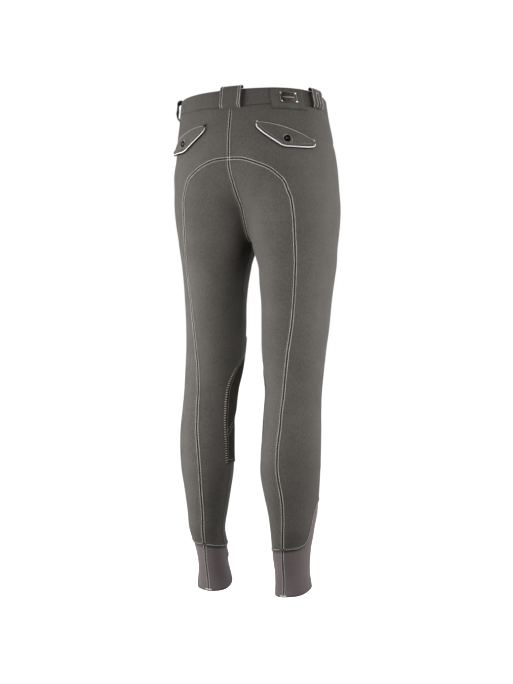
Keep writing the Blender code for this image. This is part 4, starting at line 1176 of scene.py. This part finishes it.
def makeKneePatch(side):
    word = sideWord(side)
    levels = kneeHigh + (kneeLow - kneeHigh) * gradedMarks(*kneePatch["rows"])
    back, front = (edge[:, None] - fullTurn for edge in kneeEdges(levels))
    u = gradedMarks(*kneePatch["columns"])[None, :]
    angles = back * (1 - u) + front * u
    heights = np.broadcast_to(levels[:, None], angles.shape)
    lift = kneePatch["lift"] + garment["patchWall"]
    points, out = onCloth(angles, heights, side, lift)
    above, below, start, end = borderDistance(points)
    edge = np.minimum.reduce((above, below, start, end))
    rise = rolled(edge, *kneePatch["roll"]) + ledge(edge, *kneePatch["layer"])
    rise = rise - bell(edge - kneePatch["innerRow"], *kneePatch["groove"])
    # painted shade round the patch's edge
    layCloth(
        "kneePatchSuede_" + word, "knee_patch_" + word, raised(points, out, rise, garment["patchWall"]),
        weaveMap(angles, heights), bell(edge, *kneePatch["shade"]), finish="suede", slot="patch_suede",
        flat=kneePatch["cut"], area=kneePatch["area"], held="stretched",
        rests_on=["outerPanel_" + word, "seatPanel_" + word],
    )
    overcastEdge(word, points, out, lift)
    last = points.shape[1] - 1
    rows = []
    for away in kneePatch["footRows"]:
        row, column = contourRow(below[::-1], away, 2, last - 2)
        rows.append(threadOnGrid(points, out, len(points) - 1 - row, column, 0.45))
    sew("kneeFootSewing_" + word, rows, kneePatch["threadRadius"], finish="softThread")
    level = np.linspace(12, len(points) - 8, 240)
    columns = (
        placesAway(start, kneePatch["innerRow"], level),
        last - placesAway(end[:, ::-1], kneePatch["innerRow"], level),
    )
    rows = [threadOnGrid(points, out, level, column, 0.1, *kneePatch["pitch"]) for column in columns]
    for dart in kneePatch["darts"]:
        angle, height = (np.linspace(*ends, 30) for ends in zip(*dart))
        rows.append(threadRow(*onCloth(np.radians(angle), height, side, lift + 0.3), *kneePatch["pitch"]))
    sew("kneeInnerSewing_" + word, rows, kneePatch["threadRadius"], finish="softThread")


for side in (1, -1):
    outerAngles, outerHeights = makePanel("outer", side)
    seatAngles, seatHeights = makePanel("seat", side)
    makeCuff(side, (outerAngles[-1], outerHeights[-1]), (seatAngles[-1], seatHeights[-1]))
    hemTack(side)
    legSewing(side)
    makeKneePatch(side)
    print("leg ready:", sideWord(side))


# Waistband

band = {
    "rows": (22, 0.3, 0.16), "columns": (190, 0.5, 0.05), "cut": {1: (0.49, 0.04), -1: (0.45, 0.04)},
    # the shade is painted shade along the foot, at the waist seam
    "topRoll": (1.6, 1.2), "footRoll": (0.8, 0.9), "endRoll": (1.4, 1.1), "shade": (1.0, 0.75),
    "wave": 0.075, "waveLength": 9.0,
    # how far the left half runs on over the right, in how many columns, from where; its thread's inset
    "tab": 32.0, "tabColumns": 46, "tabFrom": 20.0, "tabInset": 3.0, "tabClimb": (-19.0, -1.0),
}


def addTab(points, out, chart, heights):
    # the left half's own columns up to tabFrom, then columns that climb onto the right half
    keep = int(np.count_nonzero(points[1, :, 0] > band["tabFrom"] + 1))
    across = np.linspace(band["tabFrom"], -band["tab"], band["tabColumns"])
    level = np.broadcast_to(heights[:, -1:], (len(heights), len(across)))
    lift = (garment["bandWall"] + garment["lay"]) * smoothStep(-across, *band["tabClimb"])
    turned = frontEnd(level, np.abs(np.broadcast_to(across, level.shape)))
    onLeft = (across > 0)[None, :, None]
    left, right = (onCloth(turned, level, side, np.broadcast_to(lift, level.shape)) for side in (1, -1))
    points, out = (
        np.concatenate([grid[:, :keep], np.where(onLeft, left[k], right[k])], axis=1)
        for k, grid in enumerate((points, out))
    )
    more = np.stack([chart[:, keep - 1:keep, 0] + across[None, :] - band["tabFrom"], level], -1)
    return points, out, np.concatenate([chart[:, :keep], more], axis=1)


def makeBand(side):
    share = gradedMarks(*band["columns"])
    rim = edgeHeight(bandTop, angleAt(share, np.zeros(share.shape)))
    foot = edgeHeight(waistSeam, angleAt(share, np.full(share.shape, -25.0)))
    t = gradedMarks(*band["rows"])[:, None]
    heights = rim[None, :] * (1 - t) + foot[None, :] * t
    angles = angleAt(np.broadcast_to(share, heights.shape), heights)
    points, out = onCloth(angles, heights, side)
    chart = weaveMap(angles, heights)
    meetOnMiddle(points, out, slice(None), 0)
    if side > 0:
        points, out, chart = addTab(points, out, chart, heights)
    else:
        meetOnMiddle(points, out, slice(None), -1)
    above, below, start, end = borderDistance(points)
    uneven = band["wave"] * np.sin(start / band["waveLength"] + 2 * wander(start, 5))
    rise = rolled(above, *band["topRoll"]) + rolled(below, *band["footRoll"]) + uneven
    if side > 0:
        rise = rise + rolled(end, *band["endRoll"])
    word = sideWord(side)
    # painted shade along the band's foot at the waist seam
    layCloth(
        "waistbandCloth_" + word, "waistband_" + word, raised(points, out, rise, garment["bandWall"]), chart,
        bell(below, *band["shade"]), flat=band["cut"][side], held="stretched",
        rests_on=["outerPanel_" + word],
    )
    if side > 0:
        # one row of thread inside the tab's end
        level = np.linspace(1.5, len(points) - 2.5, 60)
        column = points.shape[1] - 1 - placesAway(end[:, ::-1], band["tabInset"], level)
        sew("tabSewing", [threadOnGrid(points, out, level, column, 0.15)], 0.42)


for side in (1, -1):
    makeBand(side)
print("waistband ready")


# Belt loops

loopProfile = np.array((
    # distance off the band, share of the band's height, extra height
    (-1.5, 1.0, 0.38), (-0.6, 1.0, 4.2), (3.6, 1.0, 5.0), (7.6, 1.0, 2.2), (8.6, 0.6, 0.0),
    (8.3, 0.12, 0.0), (4.4, 0.0, -0.6), (0.7, 0.0, -1.0),
))
strap = {
    "rows": 56, "narrow": 11.0, "wide": 46.0, "length": 0.058, "bandHeight": 36,
    "columns": {11.0: (20, 0.3, 0.14), 46.0: (44, 0.3, 0.14)}, "roll": (0.8, 0.7), "ridge": (0.25, 2.4, 3.4),
    "sewingIn": {11.0: (1.6,), 46.0: (1.8, 6.4)}, "pitch": (2.6, 0.45),
    # by side: shares of the profile's distance off, of its rise over the rim and of its drop; the
    # painted shade on its underside
    "fit": {1: (0.8, 0.6, 3.0, 0.35), 0: (1.0, 1.0, 1.0, 1.0), -1: (1.0, 1.0, 1.0, 1.0)},
    "middle": {"rear": 13.4, "side": 8.6, "front": -58.0},      # angle round the tube
}


def reachPerTurn(middle):
    # length of the cloth for each radian at this angle
    pair = onCloth(np.radians([middle - 2, middle + 2]), np.zeros(2))[0]
    return float(np.linalg.norm(pair[1] - pair[0]) / math.radians(4))


def makeLoop(place, side, width):
    # the profile, smoothed, carried along the columns of band that the strap stands on; side 0 is the middle
    off, rise, drop, dark = strap["fit"][side]
    profile = loopProfile * np.array([off, 1.0, 1.0])
    profile[:, 2] *= np.where(profile[:, 2] > 0, rise, drop)
    steps = np.hypot(np.diff(profile[:, 0]), np.diff(profile[:, 1] * strap["bandHeight"] + profile[:, 2]))
    knots = np.concatenate([[0], np.cumsum(steps)])
    fine = np.linspace(0, knots[-1], strap["rows"])
    away, share, extra = (smoothCurve(knots, profile[:, k], fine)[:, None] for k in range(3))
    across = (gradedMarks(*strap["columns"][width]) - 0.5) * width
    if side == 0:
        angles = np.full(len(across), math.radians(88))
    else:
        angles = math.radians(strap["middle"][place]) + across / reachPerTurn(strap["middle"][place])
    rim, foot = (edgeHeight(table, angles)[None, :] for table in (bandTop, waistSeam))
    heights = foot + (rim - foot) * share + extra
    if side == 0:
        turned = backEnd(heights, np.abs(np.broadcast_to(across, heights.shape)))
        points, out = overMiddle(turned, heights, across)
    else:
        points, out = onCloth(np.broadcast_to(angles, heights.shape), heights, side)
    level = unit(out * np.array([1.0, 1.0, 0.0]))
    flat = np.stack([np.broadcast_to(away, heights.shape), heights], -1)
    course = unit(np.gradient(flat, axis=0))
    normal = np.stack([-course[..., 1], course[..., 0]], -1)
    edge = np.minimum(across - across[0], across[-1] - across)[None, :]
    roll = rolled(edge, *strap["roll"])
    ridge = ledge(edge, *strap["ridge"]) if width == strap["wide"] else 0.0
    half = garment["loopWall"] / 2
    faces = []
    for way, depth in ((1, half + roll + ridge), (-1, half + roll)):
        moved = flat + way * normal * np.broadcast_to(depth, heights.shape)[..., None]
        surface = points + level * moved[..., 0:1]
        surface[..., 2] = moved[..., 1]
        faces.append(surface)
    chart = np.stack(np.broadcast_arrays(across[None, :], fine[:, None]), -1)
    words = ["belt", "loop", place] + ([sideWord(side)] if side else [])
    # the outer face has no shade; the underside gets the painted shade (dark), for the shadow between strap
    # and band
    layCloth(
        "belt" + "".join(word.capitalize() for word in words[1:]), "_".join(words), faces, chart,
        np.zeros(chart.shape[:2]), dark, flat=(width * mm, strap["length"]), held="folded",
        rests_on=["waistbandCloth_left", "waistbandCloth_right"],
    )
    ups = unit(faces[0] - faces[1])
    track = np.arange(6 if side else 5, strap["rows"] - 5, 0.5)
    rows = []
    for inset in strap["sewingIn"][width]:
        for at in (across[0] + inset, across[-1] - inset):
            column = np.full(len(track), np.interp(at, across, np.arange(len(across))))
            up = onGrid(ups, track, column)
            rows.append(threadRow(onGrid(faces[0], track, column) + up * 0.15, up, *strap["pitch"]))
    return joined(rows)


loopSewing = [makeLoop("back", 0, strap["wide"])]
loopSewing += [makeLoop(place, side, strap["narrow"]) for place in strap["middle"] for side in (1, -1)]
sew("loopSewing", loopSewing, 0.42)
print("belt loops ready")


# Pocket flaps

flap = {
    "lift": {1: 5.0, -1: 2.2}, "risen": {1: 6.0, -1: 0.0}, "innerShare": 0.25,
    "rows": (44, 0.35, 0.08), "columns": (70, 0.4, 0.05), "cut": (0.09, 0.052), "area": 0.0035,
    "roll": (1.0, 0.8), "topRoll": (1.2, 1.6), "layer": (0.3, -1.6, 0.0), "innerGroove": (0.8, 0.35),
    "upperGroove": (0.7, 0.3), "swell": (0.35, 11.0, 4.0, 16.0),     # height, length, and where it sets in
    # painted shade lines, width and depth of each:
    "shade": ((1.0, 1.0), (0.9, 0.7), (0.9, 0.35)),     # at the sewn edge, the free edge, the inner row
    # the black cord under the piping is painted shadow: its radius by side and its offset
    "cord": 1.1, "cordOff": 0.3, "cordFrom": 0.45, "shadowCord": {1: 1.3, -1: 0.9}, "shadowCordOff": 0.9,
    "upperRow": 2.4, "innerRow": 6.6, "upperPitch": (2.4, 0.5), "innerPitch": (2.6, 0.7),
    "threadRadius": 0.36, "tack": {"thread": 0.28, "darkThread": 1.4}, "tackLong": 2.8, "tackLift": 0.3,
    "button": (45.0, -85.5), "buttonRise": {1: 3.5, -1: 0.0}, "buttonShare": {1: 0.38, -1: 1.0},
    "buttonAt": 0.68, "hole": (9.0, 6.9), "holeTilt": {1: 40.0, -1: -40.0},
}
# share along the flap, angle, height
flapTop = np.array((
    (0.0, 63.5, -48.5), (0.25, 54.0, -52.0), (0.5, 43.5, -59.5), (0.75, 33.0, -71.0), (1.0, 21.5, -85.0),
))
flapEdge = np.array((
    (0.0, 64.8, -61.0), (0.1, 62.2, -70.5), (0.2, 57.5, -82.5), (0.32, 51.4, -97.6), (0.38, 47.8, -99.6),
    (0.55, 39.5, -99.9), (0.8, 29.5, -99.6), (0.93, 24.4, -97.4), (1.0, 22.6, -92.0),
))


def flapLift(side, u, t):
    # the lower and the further out, the more it stands off
    inner = flap["innerShare"]
    return garment["lay"] + garment["flapWall"] + flap["lift"][side] * t**1.5 * (inner + (1 - inner) * u)


def flapSurface(side, u, t):
    # between the sewn edge (t 0) and the free edge (t 1)
    risen = flap["risen"][side] * u * (1.5 - u)
    topAngle, topHeight = (smoothCurve(flapTop[:, 0], flapTop[:, k], u) for k in (1, 2))
    even = np.linspace(0, 1, 201)
    edgeAngle, edgeLevel = (
        np.interp(u, even, softened(np.interp(even, flapEdge[:, 0], flapEdge[:, k]), 2.0)) for k in (1, 2)
    )
    angle = topAngle * (1 - t) + edgeAngle * t
    height = (topHeight + risen) * (1 - t) + (edgeLevel + risen) * t
    return np.radians(angle), height, flapLift(side, u if side > 0 else np.ones(np.shape(u)), t)


def makeFlap(side):
    word = sideWord(side)
    u, t = np.broadcast_arrays(
        gradedMarks(*flap["columns"])[None, :], gradedMarks(*flap["rows"])[:, None],
    )
    angles, heights, lift = flapSurface(side, u, t)
    points, out = onCloth(angles, heights, side, lift)
    above, below, start, end = borderDistance(points)
    edge = np.minimum(np.minimum(start, end), below)
    fromRow = edge - flap["innerRow"]
    rise = rolled(edge, *flap["roll"]) + rolled(above, *flap["topRoll"]) + ledge(fromRow, *flap["layer"])
    rise = rise - bell(fromRow, *flap["innerGroove"]) - bell(above - flap["upperRow"], *flap["upperGroove"])
    swell, span, low, high = flap["swell"]
    rise = rise + swell * np.sin(start / span) * smoothStep(above, low, high)
    # painted shade at the sewn edge, the free edge and the inner row; the whole underside gets painted shade
    # too
    shade = np.clip(sum(bell(away, *dark) for away, dark in zip((above, edge, fromRow), flap["shade"])), 0, 1)
    layCloth(
        "pocketFlap_" + word, "pocket_flap_" + word, raised(points, out, rise, garment["flapWall"]),
        weaveMap(angles, heights), shade, 1.0, flat=flap["cut"], area=flap["area"], held="hung",
        rests_on=["outerPanel_" + word],
    )
    return points, out


def flapRim(side, count=220):
    # line round the flap's free edge: down its inner end, along the bottom and up the outer end
    u = np.concatenate([np.zeros(25), np.linspace(0.0, 1.0, 150)])
    t = np.concatenate([np.linspace(flap["cordFrom"], 0.98, 25), np.ones(150)])
    angles, heights, lift = flapSurface(side, u, t)
    line, out = onCloth(angles, heights, side, lift - garment["flapWall"] / 2)
    half = np.array([0.5])
    angle, height, lift = flapSurface(side, half, half)
    middle = onCloth(angle, height, side, lift)[0][0]
    reach = lengths(line)
    at = np.linspace(0, reach[-1], count)
    line, out = (
        np.stack([softened(column, 1.6) for column in valuesAt(at, reach, values).T], -1)
        for values in (line, out)
    )
    out = unit(out)
    away = unit(np.cross(out, unit(np.gradient(line, axis=0))))
    return line, out, away * np.sign(np.sum(away[count // 2] * (line[count // 2] - middle)))


def makePiping(side):
    # satin cord on the free edge, and a black cord under it that stands in for the shadow there: painted
    # shadow
    word = sideWord(side)
    line, out, away = flapRim(side)
    t = np.linspace(0, 1, len(line))
    taper = np.sqrt(np.clip(np.minimum(t, 1 - t) / 0.012, 0.06, 1.0))
    thick = flap["cord"] * (1 + 0.05 * wander(lengths(line), 3 + side))
    beside = line + away * (flap["cord"] + flap["cordOff"])
    cord = roundCord("flapPiping_" + word, beside, away, out, thick * taper)
    finished(cord, "satin", ["flap_piping_" + word])
    # painted shadow: black cord just below and behind the piping, wider under the left flap
    under = line + away * (2 * flap["cord"] + flap["shadowCordOff"]) - out * flap["shadowCordOff"]
    shadowCord = roundCord("flapShadowCord_" + word, under, away, out, flap["shadowCord"][side] * taper)
    finished(shadowCord, "shadowCord")


button = {"radius": 7.0, "tie": (1.3, 1.5, 0.42)}      # the tie: half its square, its height, its thickness
buttonProfile = np.array((
    # share of the radius in sevenths, height
    (0.0, 1.35), (0.8, 1.35), (1.6, 1.36), (2.6, 1.4), (3.6, 1.55), (4.3, 1.85), (4.9, 2.25), (5.5, 2.42),
    (6.2, 2.38), (6.7, 2.05), (7.0, 1.5), (6.9, 0.9), (6.4, 0.3), (5.6, 0.0), (0.0, 0.0),
)) * np.array([button["radius"] / 7.0, 1.0])


def levelAxes(up):
    # the level way and the upright way across a place that looks along up
    sideways = unit(np.cross(np.array([0.0, 0.0, 1.0]), up))
    return sideways, np.cross(up, sideways)


def makeButton(name, node, centre, out, count=40):
    # turned disc with a raised rim, a dished middle and two bars of thread through it
    ring = np.arange(count) * fullTurn / count
    sideways, upright = levelAxes(out)
    across, along = (buttonProfile[:, :1] * wave[None, :] for wave in (np.cos(ring), np.sin(ring)))
    high = buttonProfile[:, 1:] + np.zeros((1, count))
    vertices = centre + across[..., None] * sideways + along[..., None] * upright + high[..., None] * out
    disc = meshFrom(name, vertices.reshape(-1, 3), gridFaces(len(buttonProfile), count, across=True))
    finished(disc, "button", [node])
    half, high, thick = button["tie"]
    corners = np.array([[-half], [half]]) * sideways
    starts, ends = (centre + corners + way * half * upright + out * high for way in (-1, 1))
    rows = [(starts, ends, np.repeat(out[None], 2, axis=0))]
    sew(name + "Tie", rows, thick, 0.5, "softThread")


def flapSewing(side, points, out):
    # the sewn upper edge, the grey row inside the cord and a cross tack at each upper corner
    word = sideWord(side)
    above, below, start, end = borderDistance(points)
    last = points.shape[1] - 1
    row, column = contourRow(above, flap["upperRow"], 1.5, last - 1.5)
    upper = threadOnGrid(points, out, row, column, 0.1, *flap["upperPitch"])
    first = placesAway(start, flap["innerRow"], [20])[0]
    final = last - placesAway(end[:, ::-1], flap["innerRow"], [20])[0]
    row, column = contourRow(below[::-1], flap["innerRow"], first, final)
    row = len(points) - 1 - row
    inner = [
        threadOnGrid(points, out, rows, columns, 0.0, *flap["innerPitch"])
        for rows, columns in ((row, column), (np.linspace(8, row[0], 30), np.full(30, first)))
    ]
    sew("flapSewing_" + word, [upper], flap["threadRadius"])
    sew("flapInnerSewing_" + word, inner, flap["threadRadius"], finish="softThread")
    arms = np.array([(-2.2, -2.0), (-2.2, 2.0), (-0.6, -2.0), (-0.6, 2.0)])
    corners = (("Inner", 1.5, 1, "darkThread" if side > 0 else "thread"), ("Outer", last - 1.5, 0, "thread"))
    for corner, column, ahead, finish in corners:
        at = placesAway(above.T, flap["upperRow"], [column])
        place, up = onGrid(points, at, np.array([column]))[0], unit(onGrid(out, at, np.array([column])))[0]
        course = unit(points[2, int(column) + ahead] - points[2, int(column) - 1])
        across = unit(np.cross(up, course))
        lift = up * flap["tackLift"]
        starts = place + course * arms[:, :1] + across * arms[:, 1:] + lift
        ends = place + course * (arms[:, :1] + flap["tackLong"]) - across * arms[:, 1:] + lift
        rows = [(starts, ends, np.repeat(up[None], 4, axis=0))]
        sew("flapTack_" + word + corner, rows, flap["tack"][finish], 0.4, finish)


def makeButtonhole(name, place, up, size, tilt):
    # oval of stitches pointing outward round a slit, its long way at tilt from level
    sideways, upright = levelAxes(up)
    long = sideways * math.cos(tilt) + upright * math.sin(tilt)
    turn = np.linspace(0, fullTurn, 46, endpoint=False)[:, None]
    oval = np.cos(turn) * long * size[0] + np.sin(turn) * np.cross(up, long) * size[1]
    outer = oval * (1 + 1.3 / np.linalg.norm(oval, axis=1, keepdims=True))
    rows = [(place + oval + up * 0.1, place + outer + up * 0.1, np.repeat(up[None], len(turn), axis=0))]
    sew(name, rows, 0.3, 0.2)


for side in (1, -1):
    points, out = makeFlap(side)
    makePiping(side)
    flapSewing(side, points, out)
    word = sideWord(side)
    angle, height = flap["button"][0], flap["button"][1] + flap["buttonRise"][side]
    lift = flapLift(side, flap["buttonShare"][side], flap["buttonAt"])
    place, up = onCloth(math.radians(angle), height, side, lift + 0.45)
    makeButton("flapButton_" + word, "flap_button_" + word, place, up)
    place, up = onCloth(math.radians(angle - 0.3), height - 1.0, side, lift + 0.2)
    makeButtonhole("flapButtonhole_" + word, place, up, flap["hole"], math.radians(flap["holeTilt"][side]))
print("pocket flaps ready")


# Badge patch and plate

label = {
    "from": 47.4, "to": 20.2, "below": (-24.5, -27.5),      # angles of its ends, height of its foot at each
    "rimDrop": 0.6, "rowIn": 2.4, "rows": (40, 0.35, 0.08), "columns": (64, 0.35, 0.06),
    # the shade is painted shade round the edge and along the sewn row
    "cut": (0.071, 0.045), "roll": (0.9, 0.8), "groove": (0.6, 0.3), "shade": ((0.8, 0.9), (0.7, 0.3)),
}
plate = {
    "size": (34.0, 21.4), "angle": 32.6, "height": -2.4, "fall": 1.5,
    "columns": (72, 1.0, 0.1), "rows": (48, 1.0, 0.1), "roll": (0.7, 0.5),
    "thick": 1.1, "lay": 0.35,
    "border": (1.3, 1.8, 0.45),             # where its slope starts and ends, from the edge; its height
    "bar": (0.9, 1.5, 10.4, 11.2, 0.5),     # the same up and down and along, from the middle; its height
    "stud": (2.8, 1.9, 0.9),                # how far in from both edges, radius, height
    "shine": (0.16, 0.3, 1.1),      # rubbed bright where it stands proud: border, bar and studs
}


def makeLabel():
    u = gradedMarks(*label["columns"])
    t = gradedMarks(*label["rows"])[:, None]
    angles = np.radians(label["from"] + (label["to"] - label["from"]) * u)
    rim = edgeHeight(bandTop, angles) - label["rimDrop"]
    foot = label["below"][0] + (label["below"][1] - label["below"][0]) * u
    heights = rim[None, :] * (1 - t) + foot[None, :] * t
    angles = np.broadcast_to(angles, heights.shape)
    points, out = onCloth(angles, heights, -1, garment["lay"] + garment["patchWall"])
    edge = np.minimum.reduce(borderDistance(points))
    fromRow = edge - label["rowIn"]
    rise = rolled(edge, *label["roll"]) - bell(fromRow, *label["groove"])
    # painted shade round the edge and in the sewn row's groove
    shade = bell(edge, *label["shade"][0]) + bell(fromRow, *label["shade"][1])
    layCloth(
        "waistbandPatch", "waistband_patch", raised(points, out, rise, garment["patchWall"]),
        weaveMap(angles, heights), shade, finish="patchCloth", slot="patch_suede", flat=label["cut"],
        held="laid", rests_on=["waistbandCloth_right"],
    )


def makePlate():
    # border, bar and corner studs raised on a flat field
    wide, high = plate["size"]
    u, v = np.broadcast_arrays(
        (gradedMarks(*plate["columns"]) - 0.5)[None, :], (0.5 - gradedMarks(*plate["rows"]))[:, None],
    )
    angles = math.radians(plate["angle"]) - u * wide / reachPerTurn(plate["angle"])
    inX, inY = wide * (0.5 - np.abs(u)), high * (0.5 - np.abs(v))
    edge = np.minimum(inX, inY)
    low, full, borderRise = plate["border"]
    border = ledge(edge, 1.0, low, full)
    thin, thick, short, long, barRise = plate["bar"]
    bar = ledge(np.abs(v) * high, 1.0, thin, thick) * ledge(np.abs(u) * wide, 1.0, short, long)
    inset, radius, studRise = plate["stud"]
    stud = np.sqrt(np.clip(1 - (np.hypot(inX - inset, inY - inset) / radius) ** 2, 0, 1))
    relief = plate["thick"] + borderRise * border + rolled(edge, *plate["roll"])
    relief = relief + barRise * bar + studRise * stud
    shade = np.clip(sum(shine * form for shine, form in zip(plate["shine"], (border, bar, stud))), 0, 1)
    lift = garment["lay"] + garment["patchWall"] + plate["lay"]
    points, out = onCloth(angles, plate["height"] + v * high - u * plate["fall"], -1, lift)
    piece = shell("badgePlate", points + out * relief[..., None], points, None, shade, 0.0)
    finished(piece, "metal", ["badge_plate"])


makeLabel()
makePlate()
print("badge patch ready")


# Front

fly = {
    "half": 22.0, "depth": -165.0, "wall": 1.6, "narrowing": 0.45, "cut": (0.044, 0.13), "rows": 60,
    "columns": 89, "tongue": 7.0, "tongueDepth": 1.2, "behind": 0.6,
    "tongueSides": ((-3.2, -1.4), (8.0, 13.0)),     # where it sets in and ends, across the middle
    "tongueRoot": (-6.0, -0.8),                     # where it goes deeper, from the top of the fronts
    "stitch": (39.0, 33.0), "stitchTurn": -136.0, "stitchFoot": 30.0, "tack": (6.0, 2.2),
}
waist = {"button": (-22.0, 17.0), "hole": (10.5, 2.6), "holeShift": -2.5}


def makeFly():
    # shield behind the centre front, narrower downward, with a tongue up behind the tab where that stands off
    across = np.linspace(-fly["half"], fly["half"], fly["columns"])
    start, end = fly["tongueSides"]
    tongue = smoothStep(across, *start) * ledge(across, 1.0, *end)[None, :]
    top = frontTop - 1.0 + fly["tongue"] * tongue
    t = np.linspace(0, 1, fly["rows"])[:, None]
    heights = top + (fly["depth"] - top) * t
    depth = garment["clothWall"] + fly["behind"]
    depth = depth + fly["tongueDepth"] * tongue * smoothStep(heights - frontTop, *fly["tongueRoot"])
    angles = frontEnd(heights, np.abs(across)[None, :] * (1 - fly["narrowing"] * t))
    points, out = overMiddle(angles, heights, across, -depth)
    layCloth(
        "flyShield", "fly_shield", (points, points - out * fly["wall"]),
        np.stack([np.broadcast_to(across, heights.shape), heights], -1),
        flat=fly["cut"], held="laid", rests_on=["outerPanel_left", "outerPanel_right"],
    )
    height, away = waist["button"]
    lift = garment["bandWall"] + garment["lay"] + 0.4
    centre, up = onCloth(frontEnd(np.array(height), away), height, -1, lift)
    makeButton("waistButton", "waist_button", centre, up)
    place = centre + np.array([waist["holeShift"], 0.0, 0.0])
    makeButtonhole("waistButtonhole", place, up, waist["hole"], 0.0)


def flySewing():
    # two rows down the wearer's left of the fly that turn in a quarter oval to the middle, and a tack there
    rows = []
    turn = np.linspace(0, 1.45, 50)
    for across in fly["stitch"]:
        drop = fly["stitchFoot"] + across - fly["stitch"][1]
        height = np.concatenate([np.linspace(frontTop - 2.0, fly["stitchTurn"], 60),
                                 fly["stitchTurn"] - drop * np.sin(turn)])
        away = np.concatenate([np.full(60, across), across * np.cos(turn)])
        rows.append(threadRow(*onCloth(frontEnd(height, away), height, 1, 0.2)))
    wide, high = fly["tack"]
    away = np.linspace(1.5, 1.5 + wide, 9)
    for up in np.arange(0, high, 0.8):
        height = np.full(9, fly["stitchTurn"] - fly["stitchFoot"] + up)
        rows.append(threadRow(*onCloth(frontEnd(height, away), height, 1, 0.5), wide, 0.2))
    sew("flySewing", rows, bow=0.15)


makeFly()
flySewing()
print("front ready")


# Floor, light and camera

studio = {
    "floorDrop": 70.0, "floorSize": 60.0, "floorGlow": 0.95, "ambient": (0.07, 0.22),
    "distance": 2.580, "shift": 0.0084, "eye": -0.485, "azimuth": 205.0,
    "focalPixels": 1250.0, "imageHeight": 684.0, "sensor": 36.0,
    "aim": (0.0, 0.0, -0.48), "lampDistance": 1.6, "panel": (0.9, 0.8), "spread": 75.0,
    # soft panels: degrees round from the camera, to the right where positive; degrees up; watts
    "panels": {
        "leftRim": (-105.0, 20.0, 4.0), "leftBank": (-55.0, 0.0, 6.4), "rightFill": (38.0, 25.0, 3.1),
        "leftLow": (-84.0, -22.0, 4.2), "rightBank": (80.0, 16.0, 5.3), "rightRim": (112.0, 0.0, 2.6),
        "frontBank": (180.0, 35.0, 4.5),
    },
}
white = (1.0, 1.0, 1.0, 1.0)


def makeFloor():
    # pale seamless floor that glows as bright as the white room behind it, and lights nothing but itself
    level = float(cadBox[0][2]) - studio["floorDrop"] * mm
    half = studio["floorSize"] / 2
    mesh = bpy.data.meshes.new("floor")
    corners = [(x * half, y * half, level) for x, y in ((-1, -1), (1, -1), (1, 1), (-1, 1))]
    mesh.from_pydata(corners, [], [(0, 1, 2, 3)])
    floor = bpy.data.objects.new("floor", mesh)
    bpy.context.scene.collection.objects.link(floor)
    material, tree, shader = newMaterial("matteWhitePaper")
    place = {"Vector": (addNode(tree, "TexCoord"), "Object")}
    grain = addNode(tree, "TexNoise", {"Scale": 900.0, "Detail": 2.0}, place)
    bump = addNode(tree, "Bump", {"Strength": 0.05, "Distance": 0.0002}, {"Height": (grain, 0)})
    tree.links.new(bump.outputs[0], shader.inputs["Normal"])
    paper = {
        "Base Color": (0.8, 0.8, 0.8, 1.0), "Roughness": 0.95, "Specular IOR Level": 0.1,
        "Emission Color": white, "Emission Strength": studio["floorGlow"],
    }
    for key, value in paper.items():
        shader.inputs[key].default_value = value
    mesh.materials.append(material)
    floor.visible_diffuse = False
    floor.visible_glossy = False


def makeWorld():
    # the room is white to the camera; its light on the cloth is weak from below, stronger from above
    world = bpy.data.worlds.new("studioWhite")
    bpy.context.scene.world = world
    world.use_nodes = True
    tree = world.node_tree
    lit = tree.nodes["Background"]
    lit.inputs[0].default_value = white
    way = addNode(tree, "SeparateXYZ", {}, {0: (addNode(tree, "TexCoord"), "Generated")})
    below, above = studio["ambient"]
    strength = addNode(tree, "MapRange", {1: -0.5, 2: 0.5, 3: below, 4: above}, {0: (way, 2)})
    tree.links.new(strength.outputs[0], lit.inputs[1])
    seen = addNode(tree, "Background", {"Color": white, "Strength": 1.0})
    both = addNode(tree, "MixShader", {}, {0: (addNode(tree, "LightPath"), 0), 1: (lit, 0), 2: (seen, 0)})
    tree.links.new(both.outputs[0], tree.nodes["World Output"].inputs[0])


def makeStudio():
    makeFloor()
    makeWorld()
    turn = math.radians(studio["azimuth"] - 180)
    back = np.array([-math.sin(turn), math.cos(turn), 0.0])
    right = np.array([-math.cos(turn), -math.sin(turn), 0.0])
    upward = np.array([0.0, 0.0, 1.0])
    for name, (around, up, watts) in studio["panels"].items():
        data = bpy.data.lights.new(name, "AREA")
        data.shape = "RECTANGLE"
        data.size, data.size_y = studio["panel"]
        data.energy = watts
        data.spread = math.radians(studio["spread"])
        lamp = bpy.data.objects.new(name, data)
        lamp.visible_camera = False
        around, up = math.radians(around), math.radians(up)
        way = (back * math.cos(around) + right * math.sin(around)) * math.cos(up) + upward * math.sin(up)
        lamp.location = np.array(studio["aim"]) + way * studio["lampDistance"]
        lamp.rotation_euler = (math.acos(way[2]), 0.0, math.atan2(way[0], -way[1]))
        bpy.context.scene.collection.objects.link(lamp)
    camera = bpy.data.cameras.new("camera")
    camera.sensor_width = studio["sensor"]
    camera.lens = studio["sensor"] * studio["focalPixels"] / studio["imageHeight"]
    camera.dof.use_dof = False
    eye = bpy.data.objects.new("camera", camera)
    eye.location = back * studio["distance"] + right * studio["shift"] + upward * studio["eye"]
    eye.rotation_euler = (math.radians(90), 0.0, math.radians(studio["azimuth"]))
    bpy.context.scene.collection.objects.link(eye)
    bpy.context.scene.camera = eye
    bpy.context.scene.view_settings.view_transform = "Standard"


makeStudio()
print("studio ready")

for name, piece in pieces.items():
    print(name, sum(len(p.vertices) - 2 for p in piece.data.polygons))
